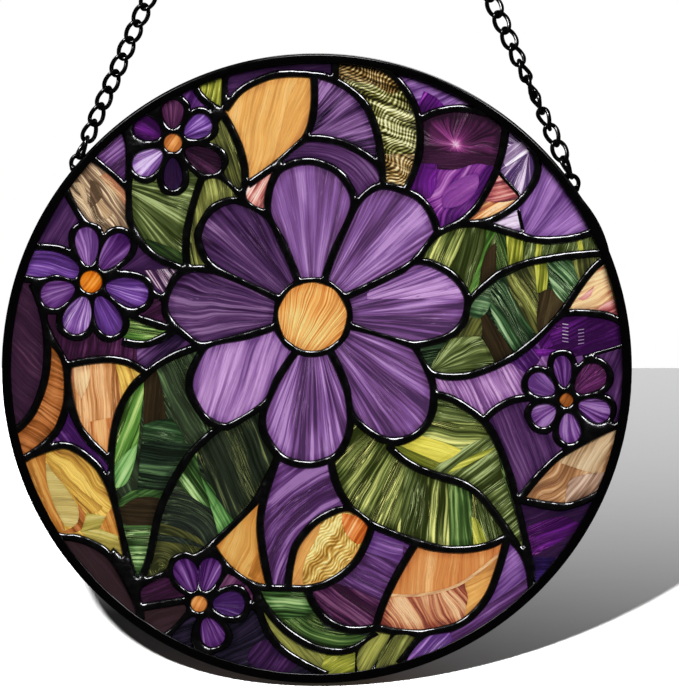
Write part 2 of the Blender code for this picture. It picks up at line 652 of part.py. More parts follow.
def strand_links(angle, turn):
    """Centre-lines of all the links of a strand, from the rim loop to the hanging ring."""
    start, end, pull = strand_ends(angle)
    reach = (end - start).length
    count = round(reach / LINK_PITCH)
    overlap = LINK_WIRE - LINK_BITE
    length = (reach + (count - 1) * overlap) / count
    lines = []
    for index in range(count):
        centre = start + pull * (length / 2 + index * (length - overlap))
        share = (ROLL_LAST_LINK - index) / (ROLL_LAST_LINK - ROLL_FIRST_LINK)
        roll = turn * min(1.0, max(0.0, share))
        twist = LINK_TWIST
        if index == 0:
            roll += END_LINK_ROLL
            twist = -LINK_TWIST / 2
        elif index == count - 1:
            roll = -END_LINK_ROLL
            twist = -LINK_TWIST / 2
        lines.append(link_line(centre, pull, length, roll, twist))
    return lines


def add_strand(name, angle, turn, material, collection, cutters, stand):
    """A chain strand: alternate links, joined where they bear on the links between them."""
    lines = strand_links(angle, turn)
    odd = wire(name, lines[1::2], LINK_WIRE, LINK_SIDES, closed=True)
    even = wire(name + "_joined", lines[0::2], LINK_WIRE, LINK_SIDES, closed=True)
    strand = add_object(name, odd, material, collection, stand)
    add_cut(strand, "UNION", add_object(name + "_joined", even, material, cutters, stand))


def main():
    """Build every piece."""
    clear_scene()
    collection = bpy.data.collections.new("stained_glass_suncatcher")
    cutters = bpy.data.collections.new("joining_shapes")
    bpy.context.scene.collection.children.link(collection)
    bpy.context.scene.collection.children.link(cutters)
    stand = bpy.data.objects.new("disc_centre", None)
    stand.rotation_euler = (math.pi / 2, 0.0, 0.0)
    stand.location = (0.0, 0.0, -HANG_DROP * MM)
    collection.objects.link(stand)

    enamel = make_material("black_enamel", (0.012, 0.012, 0.013), 0.35, 0.3)
    lead = make_material("blackened_lead", (0.015, 0.015, 0.016), 0.25, 0.6)
    chain = make_material("black_chain", (0.012, 0.012, 0.013), 0.3, 0.6)
    glass = {name: make_material("glass_" + name, colour, 0.08, 0.0)
             for name, colour in GLASS_COLOURS.items()}

    outlines = pane_outlines()
    add_came(outlines, lead, collection, stand)
    for name, colour, spot in PANES:
        opening = next(loop for loop in outlines if contains(loop, spot))
        add_object(name, plate(name, inset(opening, GAP), GLASS_DEPTH), glass[colour], collection, stand)

    add_hoop(enamel, collection, stand)
    ring_centre = (0.0, HANG_DROP - RING_RADIUS + RING_WIRE / 2)
    ring_line = circle(ring_centre, RING_RADIUS, RING_STEPS)
    ring = wire("hanging_ring", [ring_line], RING_WIRE, RING_SIDES, closed=True)
    add_object("hanging_ring", ring, chain, collection, stand)
    for side, angle, turn in (("left", LOOP_ANGLE_LEFT, ROLL_LEFT), ("right", LOOP_ANGLE_RIGHT, ROLL_RIGHT)):
        bend = [loop_point(angle, math.pi * index / LOOP_STEPS) for index in range(LOOP_STEPS + 1)]
        loop = wire("rim_loop_" + side, [bend], LOOP_WIRE, LOOP_SIDES, closed=False)
        add_object("rim_loop_" + side, loop, enamel, collection, stand)
        add_strand("chain_" + side, angle, turn, chain, collection, cutters, stand)


if __name__ == "__main__":
    main()
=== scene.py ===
"""Looks of the stained glass suncatcher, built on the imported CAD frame.

Panel coordinates are in millimetres from the disc's centre: x to the right, y up, h to the front.
Outlines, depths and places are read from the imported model, and the pieces ride on body "root".
"""
import math

import bpy
import numpy as np
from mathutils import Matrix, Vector
from mathutils.geometry import delaunay_2d_cdt


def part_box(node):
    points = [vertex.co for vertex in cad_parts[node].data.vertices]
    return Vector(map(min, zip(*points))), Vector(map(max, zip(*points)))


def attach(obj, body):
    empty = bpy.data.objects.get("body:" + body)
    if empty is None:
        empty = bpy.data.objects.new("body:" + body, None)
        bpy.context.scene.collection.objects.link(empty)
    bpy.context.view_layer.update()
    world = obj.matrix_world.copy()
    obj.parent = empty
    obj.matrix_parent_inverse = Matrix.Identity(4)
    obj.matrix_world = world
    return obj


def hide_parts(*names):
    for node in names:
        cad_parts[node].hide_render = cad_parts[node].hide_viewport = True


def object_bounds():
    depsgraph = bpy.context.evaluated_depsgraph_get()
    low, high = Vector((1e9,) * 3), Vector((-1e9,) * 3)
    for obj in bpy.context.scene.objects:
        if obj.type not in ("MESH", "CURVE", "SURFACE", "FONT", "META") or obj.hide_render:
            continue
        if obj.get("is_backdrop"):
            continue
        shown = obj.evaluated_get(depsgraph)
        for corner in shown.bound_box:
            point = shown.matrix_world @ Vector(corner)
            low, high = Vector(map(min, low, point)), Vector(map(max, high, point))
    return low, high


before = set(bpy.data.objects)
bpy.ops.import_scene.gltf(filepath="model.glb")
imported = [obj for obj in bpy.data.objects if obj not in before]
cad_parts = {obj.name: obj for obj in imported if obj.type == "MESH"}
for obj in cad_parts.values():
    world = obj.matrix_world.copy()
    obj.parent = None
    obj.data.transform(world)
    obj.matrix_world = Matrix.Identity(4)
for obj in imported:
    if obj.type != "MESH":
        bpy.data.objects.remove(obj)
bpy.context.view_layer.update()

MM = 0.001
RING_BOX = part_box("frame_ring")
CENTRE = (RING_BOX[0] + RING_BOX[1]) / 2

# Points handled at once to save memory, how close counts as the same, and waves added up for unevenness.
BATCH = 4000
SAME_HEIGHT = 0.01
SAME_POINT = 1e-6
TINY = 1e-9
WAVE_COUNT = 26

# Leadwork, in millimetres apart from angles, shares and counts. SIDE_BULGE is a little more than the
# 0.5 mm by which part.py may straighten a curve in one step.
RIM_POINTS = 760
OUTLINE_STEP = 0.8
CORNER_TURN = math.radians(55.0)
SMALL_CORNER_TURN = math.radians(80.0)
SMALL_OPENING = 110.0
SIDE_BULGE = 0.55
TIP_SHARE = 0.4
STEEPEST_SIDE = 0.9
SHARPEST_MITRE = 0.6
LEAD_BASE = 1.3
LEAD_ROUNDING = 0.95
LEAD_CROWN = 2.4
LEAD_ROWS = (0.13, 0.42)
FRONT_GRID = 0.62
BACK_GRID = 0.95
GRID_MARGIN = 0.55
GRID_SHAKE = 0.12
JOINT_RISE = 1.5
JOINT_BLEND = 0.7
BEAD_WAVE = 0.05
JOINT_CRUST = 0.1
FILM_ROUNDS = 220
FILM_REST = 1e-9

# Glass, in millimetres apart from the tones.
GLASS_UNDER_LEAD = 0.35
GLASS_GRID = 0.8
RIPPLE_GRID = 0.21
RELIEF = 0.05
# PATCH_EDGE and PATCH_FADE: how far from the lead a patch's outline counts for the painted edge shade, and
# how fast that distance grows away from it.
PATCH_EDGE = 1.1
PATCH_FADE = 2.2
SMALL_PANE_DEPTH = 3.0
RELIEF_ROOM = 0.08
RIPPLE_PITCH = 1.15
RIPPLE_HEIGHT = 0.22
# Painted light on the ripples' ridges and painted shade in their valleys, as a share of the tone range.
RIPPLE_PAINTED_SHADING = 0.75
TONE_PLACES = (0.08, 0.33, 0.5, 0.66, 0.92)

# Chains, in millimetres apart from angles, shares and counts.
LINK_PITCH = 5.7
LINK_WIDTH = 5.7
WIRE = 1.4
LINK_TWIST = math.radians(42.0)
LINK_POINTS = 40
LINK_SQUARENESS = 0.9
TURNING_LINKS = 8.0
WIRE_SIDES = 10
RING_POINTS = 96
RING_SIDES = 16
LOOP_POINTS = 29
LOOP_SIDES = 14

# Hoop, in millimetres: its inner edge, the channel's lip and web, then its seam, whose span and gap are
# in degrees.
HOOP_STEPS = 480
SIGHT_RADIUS = 97.0
HOOP_LIP = 1.0
HOOP_WEB = 1.1
SEAM_TURN = math.radians(21.5)
SEAM_SPAN = 11.0
SEAM_BULGE = 0.75
SEAM_GAP = 0.22
SEAM_DEPTH = 0.3
SEAM_DIP = 0.06
OUTER_EDGE = 1.0
LIP_RAGGED = 0.07

# Stage, in metres apart from the sensor. The first two are the strengths of the floor's lights.
FLOOR_KEY = 885.0
FLOOR_FILL = 297.0
FLOOR_GAP = 0.002
FLOOR_REACH = 16.0
FLOOR_FRONT = -4.0
RIM_LIGHT_REACH = 1.1
CAMERA_DISTANCE = 1.2
CAMERA_VIEW = 0.2188
CAMERA_ASIDE = 0.0072
CAMERA_UP = 0.0077
SENSOR = 36.0

# Sheets of glass: five tones from dark to light, as the streaks show them. The lightest also colours the
# pale hair lines, which are partly painted glints.
GLASS = {
    "amber_eye": "c87830 e09048 f0a858 f8c070 f8e090",
    "amber": "b87840 d89850 e8a858 f0b868 f8c880",
    "amber_rust": "a05030 c87840 d88848 e09858 f8c080",
    "amber_low": "a86828 c88038 d89848 e0a858 f0c070",
    "orange": "b8560c d8700f ea821a f49530 ffb860",
    "orange_soft": "a85c28 c87838 e09048 f0a860 f8c890",
    "orange_dark": "6c3410 8c4a18 a85c20 c4743c e0a070",
    "yellow": "885c28 b88438 c89840 d8a848 f8d068",
    "peach": "985c30 c88850 d89860 e8a870 f8c890",
    "peach_pale": "b06848 d8a878 f0c490 f8d8a0 fcecb8",
    "tan": "584430 806450 987860 b09470 f4d8b0",
    "tan_warm": "7a5034 a27048 b48458 c8986a dcb48c",
    "brown": "6a3818 90501f aa6230 bb7038 cf8850",
    "leaf": "283010 404c24 505c30 6c7840 b0c080",
    "leaf_dark": "181c10 20281c 2c3424 384830 6c8858",
    "leaf_black": "141814 1c201c 202820 2c342c 586848",
    "leaf_streaked": "283010 4c5828 6c783c a0a85c f0f090",
    "leaf_deep": "16240e 2c421c 3e5a2a 527238 98b468",
    "leaf_bright": "2c4418 4c7a30 62943c 80ae50 c4e088",
    "olive": "2a2d16 50522a 64662f 7a7e3b b4b868",
    "olive_brown": "1a140a 241c10 2c2214 362a1a 4a3e26",
    "lime": "58601a 8a8e30 a8a83c c8c850 ece878",
    "strip_green": "404820 646834 808040 989848 c0c060",
    "ripple_green": "1c1808 50501c 808044 b8b070 f8f8c8",
    "ripple_amber": "986820 c89848 d8b058 e8c46c fcf0a4",
    "petal": "482c54 6c4478 7c5090 9064a4 bc90cc",
    "petal_plum": "2a1432 422650 50305c 603c6c 8e6a98",
    "petal_lilac": "6c4580 9466a6 a678b6 b688c4 d0a2dc",
    "violet_smooth": "583070 785090 9060a8 a070b8 bc90d0",
    "violet": "3c2044 502c60 603870 744888 a074b0",
    "violet_lively": "1c1028 4c2c58 644474 80548c a47cb4",
    "violet_dark": "2e163a 42244e 4c2a58 583464 745080",
    "violet_bright": "381a50 4e2a6e 603888 7848a2 b48cd4",
    "violet_pale": "5a3478 8054a0 9c6cb4 b48cd0 e0c8f0",
    "violet_mauve": "38144c 562a6c 683a80 7e5096 a47cb8",
    "violet_magenta": "2e0a3c 4c1660 641c80 8428a0 d060d8",
    "lilac_band": "6a4078 8a5a98 a070ac b688c0 dcb0e0",
    "lilac_shard": "4a3060 6e5480 8c7098 ac92b8 ecd8f0",
    "indigo": "160a2c 201040 2a1650 341c60 4c3078",
    "plum": "201030 2c1434 30183c 381c44 502c5c",
    "plum_red": "2a1226 401a3c 4e2448 5e3054 7c4c70",
    "magenta": "3a1536 541f50 6c2a68 883e88 c070b8",
    "magenta_dark": "1e0c1c 2c1428 3a1a34 4a2444 702e60",
    "maroon_glow": "2a1426 5a2450 8c3a7c c060a4 fcd0ec",
    "maroon_rim": "2a1526 321930 361c32 3c2038 553048",
    "maroon": "2c1c20 302024 342428 38242c 402c30",
    "night": "0c0a14 16121e 1e1828 281e34 3c3048",
    "leaf_night": "10160c 1a2216 23291f 2c3626 7c8450",
    "leaf_fresh": "1c2c12 325026 4a7038 72985a b8d890",
    "leaf_light": "345c28 548446 74a85c 9ccc7c d0eca8",
    "leaf_mint": "22381f 3a5a3a 56784e 7c9c70 b4cca0",
    "leaf_teal": "142214 22381f 30502e 4c7046 b0d09c",
    "leaf_shade": "10180e 18241a 223222 324a30 5c7c50",
    "lime_bright": "b4a83c dcd050 f0e464 f6ec78 faf8a4",
    "yellow_pale": "a08450 bea660 ccb468 d8c278 ecd890",
    "yellow_green": "84742c a49444 b6a64e c4b45c dcca7c",
    "tan_pale": "9c7a58 be9c74 d0b088 dcc09a ecdab8",
    "tan_grey": "5c4034 886852 a2806a bc9a84 dcc0a8",
    "rust_feather": "74342c a4543c c47a58 dc9e70 f4c898",
    "orange_red": "9c4414 cc6426 e4803a f0a05c ffd094",
    "ripple_brown": "1a1206 543e18 8c6c38 c4a062 f8e8b8",
    "orchid": "3c1250 601f78 82388e 9c50a6 c484c8",
    "orchid_light": "6a2c80 8c4498 a058a8 b26eb8 d8a4dc",
    "orange_streak": "5a2420 a85840 d88c50 f0b070 fad8a8",
    "coral_red": "4a1820 8c3c44 b85c5c d88880 f0b8b0",
    "lilac_white": "8c7098 b8a0c4 d8c4e0 ece0f2 fbf5fd",
    "salmon": "8a4a4a c87068 e89a8c f4c0b0 fce8e0",
    "plum_pale": "241030 543254 805878 b090a8 f0dce8",
}

# A sheet's streaks: strength of the broad ones, the fine ones and the hair lines, whose pale ones are partly
# painted glints, and how close the fine ones lie.
PLAIN_STREAKS = (1.9, 2.0, 0.5, 1.15)
LEAFY_STREAKS = (1.5, 1.6, 1.1, 1.15)
FEATHERED_STREAKS = (0.9, 2.6, 0.9, 2.6)

# Streak directions: an angle in degrees, or away from or round a point or a pane's middle.
AWAY, ROUND = "away", "round"

# Pane: glass, streak direction, shade, streak contrast, wobble. CAD node names first.
PANES = {
    "eye_glass": ("amber_eye", (AWAY, (-12.0, -8.0)), 0.06, 0.8, 0.7),
    "petal_top": ("petal", (AWAY, "eye_glass"), 0.08, 0.7, 0.25),
    "petal_upper_right": ("petal", (AWAY, "eye_glass"), 0.07, 1.1, 0.25),
    "petal_right": ("petal", (AWAY, "eye_glass"), -0.16, 1.2, 0.3),
    "petal_lower_right": ("petal", (AWAY, "eye_glass"), -0.13, 1.0, 0.25),
    "petal_bottom": ("petal", (AWAY, "eye_glass"), 0.0, 1.3, 0.2),
    "petal_lower_left": ("petal_lilac", 72, -0.04, 1.0, 0.5),
    "petal_left": ("petal_plum", (AWAY, "eye_glass"), 0.12, 1.1, 0.8),
    "petal_upper_left": ("petal_plum", (AWAY, "eye_glass"), -0.02, 1.1, 0.25),
    "leaf_left": ("leaf_dark", -60, -0.04, 0.8, 0.8),
    "leaf_lower_left": ("leaf_black", (ROUND, (-50.0, -64.0)), -0.02, 1.0, 0.5),
    "leaf_lower_right": ("leaf_streaked", (AWAY, (42.0, 8.0)), -0.24, 1.6, 0.5),
    "leaf_right": ("leaf_shade", 10, -0.06, 1.4, 0.4),
    "leaf_upper_right": ("leaf", 78, -0.14, 1.2, 0.5),
    "leaf_upper_left": ("leaf", (AWAY, (-66.0, 60.0)), 0.02, 1.3, 0.4),
    "leaf_streaked": ("leaf_streaked", -8, 0.0, 1.2, 0.7),
    "leaf_olive": ("olive", -80, 0.1, 1.3, 0.5),
    "leaf_sliver": ("olive", -70, 0.1, 1.2, 0.5),
    "ripple_green_top": ("ripple_green", -20, 0.06, 1.0, 0.6),
    "ripple_amber_bottom": ("ripple_amber", 52, 0.2, 0.8, 0.6),
    "crescent_green": ("leaf_deep", (ROUND, (9.0, -58.0)), 0.0, 1.0, 0.6),
    "strip_green": ("strip_green", -50, 0.15, 1.0, 0.6),
    "trunk_violet": ("violet", (ROUND, (20.0, -75.0)), 0.04, 1.4, 0.6),
    "crescent_violet": ("violet_dark", (ROUND, (-2.0, 47.0)), 0.0, 1.0, 0.4),
    "band_lilac": ("lilac_band", -62, 0.04, 1.3, 0.6),
    "pane_amber_top": ("amber", 76, 0.14, 0.6, 0.8),
    "pane_violet_top": ("violet_lively", (AWAY, (-14.0, 66.0)), 0.0, 1.3, 0.5),
    "strip_violet_top": ("plum", 5, 0.1, 1.0, 0.6),
    "pane_violet_top_right": ("violet_smooth", 20, -0.06, 1.1, 1.2),
    "pane_magenta": ("orchid", 50, 0.0, 0.8, 1.8),
    "pane_coral": ("orange_streak", 32, -0.16, 1.3, 0.6),
    "pane_lilac": ("lilac_shard", (AWAY, (67.5, 69.0)), -0.28, 1.9, 0.5),
    "pane_violet_upper_right": ("violet_smooth", (AWAY, (58.0, 30.0)), 0.05, 1.0, 0.6),
    "pane_peach_right": ("peach_pale", 25, 0.12, 1.0, 1.2),
    "pane_violet_right": ("violet_dark", -68, -0.06, 0.9, 0.5),
    "pane_tan_right": ("tan_warm", 48, 0.0, 1.1, 1.6),
    "pane_plum_right": ("plum", 20, 0.02, 0.8, 1.0),
    "strip_violet_right": ("violet", 32, -0.08, 1.0, 0.8),
    "pane_amber_bottom": ("amber_rust", 84, 0.1, 0.45, 1.2),
    "pane_plum_bottom": ("violet", -30, -0.14, 1.0, 0.6),
    "pane_amber_low": ("amber_low", 70, 0.16, 0.5, 1.6),
    "pane_plum_bottom_left": ("night", 30, 0.0, 0.9, 1.0),
    "pane_maroon_bottom": ("maroon", 20, -0.02, 0.9, 1.0),
    "pane_maroon_low": ("maroon", -50, 0.0, 0.5, 1.0),
    "pane_yellow": ("yellow", -48, 0.06, 1.1, 2.0),
    "pane_peach_left": ("peach", -86, -0.02, 1.3, 0.8),
    "crescent_brown": ("brown", -30, 0.1, 1.0, 2.0),
    "pane_maroon_rim": ("maroon_rim", -42, 0.0, 0.8, 1.0),
    "pane_plum_left": ("plum_red", 80, -0.16, 0.8, 0.8),
    "pane_plum_middle": ("violet_dark", (AWAY, (-66.0, 28.0)), -0.06, 1.0, 0.3),
    "petal_at_rim": ("violet_bright", -12, 0.1, 0.8, 1.0),
    "pane_violet_left": ("violet_dark", 62, -0.1, 0.8, 0.4),
    "pane_tan_left": ("tan", -52, 0.04, 1.7, 1.4),
}

# Small flowers: middle, glass of the eye, then each petal's direction in degrees, glass, shade, contrast.
PETAL_REACH = 9.5
PETAL_WOBBLE = 0.5
SMALL_FLOWERS = {
    "left": ((-71.7, 27.5), ("orange", 60, 0.0, 0.8, 1.6), (
        (-15, "violet_bright", 0.04, 1.0), (-65, "violet_bright", -0.08, 0.8),
        (-111, "violet_pale", 0.1, 1.3), (53, "violet_mauve", 0.12, 1.0),
        (199, "violet_mauve", -0.14, 1.0), (96, "violet_smooth", -0.02, 1.2))),
    "upper": ((-45.7, 71.6), ("orange_soft", 60, -0.1, 0.7, 0.8), (
        (90, "plum_red", 0.12, 1.0), (32, "violet_bright", 0.16, 1.0), (-28, "magenta_dark", -0.12, 0.9),
        (-90, "plum", -0.1, 0.9), (217, "violet_pale", 0.12, 1.2), (151, "violet_magenta", -0.24, 0.5))),
    "right": ((79.3, -10.1), ("orange_dark", 60, 0.0, 0.7, 1.6), (
        (41, "magenta", -0.08, 0.9), (-19, "violet_mauve", 0.02, 1.5), (-84, "violet_mauve", -0.02, 1.3),
        (149, "violet_smooth", -0.02, 1.0), (213, "violet_mauve", 0.28, 1.2),
        (97, "violet_mauve", 0.22, 1.2))),
    "lower": ((-37.4, -74.8), ("orange_soft", 60, 0.1, 0.7, 0.8), (
        (113, "violet_mauve", -0.2, 1.1), (72, "violet_mauve", -0.22, 1.1), (0, "violet_bright", -0.2, 0.8),
        (-66, "violet_mauve", 0.12, 1.1))),
}

# Other small openings that have glass here only: a place inside each, and its glass.
SLIVERS = {
    "sliver_right": ((95, 1), ("violet_dark", 70, -0.1, 0.9, 0.5)),
    "sliver_upper_left": ((-64, 66), ("violet", 40, 0.0, 1.5, 0.5)),
    "sliver_left": ((-77, -21), ("violet_mauve", -50, -0.28, 1.4, 0.5)),
    "sliver_bottom": ((16, -89), ("strip_green", 60, 0.05, 1.0, 0.5)),
    "sliver_olive": ((25, -88), ("olive", 60, 0.1, 1.0, 0.5)),
    "leaf_small": ((-57, 12), ("leaf_bright", -8, 0.14, 1.4, 0.5)),
    "shard_pink": ((-19, 57), ("salmon", 62, 0.0, 1.3, 0.5)),
    "shard_night": ((-43, -83), ("night", 20, 0.05, 0.9, 0.5)),
    "leaf_top": ((-32, 89), ("lime", 80, -0.16, 1.2, 0.5)),
    "shard_plum": ((-52, 19), ("plum_red", 30, -0.12, 0.9, 0.5)),
    "shard_lilac": ((63, 46), ("lilac_shard", 18, 0.36, 0.8, 0.4)),
    "shard_maroon": ((-50, -71), ("plum_red", 20, -0.32, 0.6, 1.0)),
    "shard_violet": ((-40, 86), ("violet_mauve", 60, 0.0, 1.0, 0.5)),
    "shard_pink_low": ((-26, -67), ("plum_red", 50, 0.35, 1.0, 0.5)),
}
OTHER_PANE = ("violet_dark", 45, 0.0, 1.0, 0.6)
RIPPLED = {"ripple_green_top": -38.0, "ripple_amber_bottom": -42.0}

# Pale dashes in the right-hand band, one under another. A steep rise would round their blunt corners.
PALE_DASH = ("lilac_shard", 8, 0.42, 0.3, 0.2)
DASH_LENGTH = 1.9
DASH_HEIGHT = 0.25
DASH_STEP = 1.1

# Soft lights and shades in a pane: middle, reach and strength of each.
GLOWS = {
    "pane_magenta": (((44.2, 71.2), 1.5, 0.42), ((44.0, 71.5), 4.5, 0.34), ((38.5, 75.0), 5.0, 0.2)),
    "eye_glass": (((-7.0, 17.0), 3.0, 0.24), ((-3.0, 12.0), 4.0, 0.22), ((5.0, 20.0), 5.0, -0.16)),
    "band_lilac": (((88.0, 10.0), 8.0, -0.3),),
}


def small_panes():
    """Name of each small opening, with a place inside it and its glass."""
    panes = dict(SLIVERS)
    for flower, (middle, eye, petals) in SMALL_FLOWERS.items():
        panes[flower + "_eye"] = (middle, eye)
        for number, (turn, glass, shade, contrast) in enumerate(petals, 1):
            across = PETAL_REACH * math.cos(math.radians(turn))
            up = PETAL_REACH * math.sin(math.radians(turn))
            look = (glass, (AWAY, flower + "_eye"), shade, contrast, PETAL_WOBBLE)
            panes[f"{flower}_petal_{number}"] = ((middle[0] + across, middle[1] + up), look)
    return panes


def ribbon(width, *path):
    """Corners of a band of even width along a path."""
    points = np.reshape(path, (-1, 2)).astype(float)
    along = np.gradient(points, axis=0)
    along /= np.linalg.norm(along, axis=1)[:, None]
    aside = 0.5 * width * np.stack([-along[:, 1], along[:, 0]], 1)
    return np.concatenate([points + aside, (points - aside)[::-1]]).ravel()


def dashes(x, y, count, rise):
    """A ladder of short pale strokes, from the top one down. Each rises that far to the right, or falls."""
    right = x + DASH_LENGTH
    return [(*PALE_DASH, (x, low, right, low + rise, right, low + rise + DASH_HEIGHT, x, low + DASH_HEIGHT))
            for low in (y - DASH_STEP * row for row in range(count))]


SMALL_PANES = small_panes()

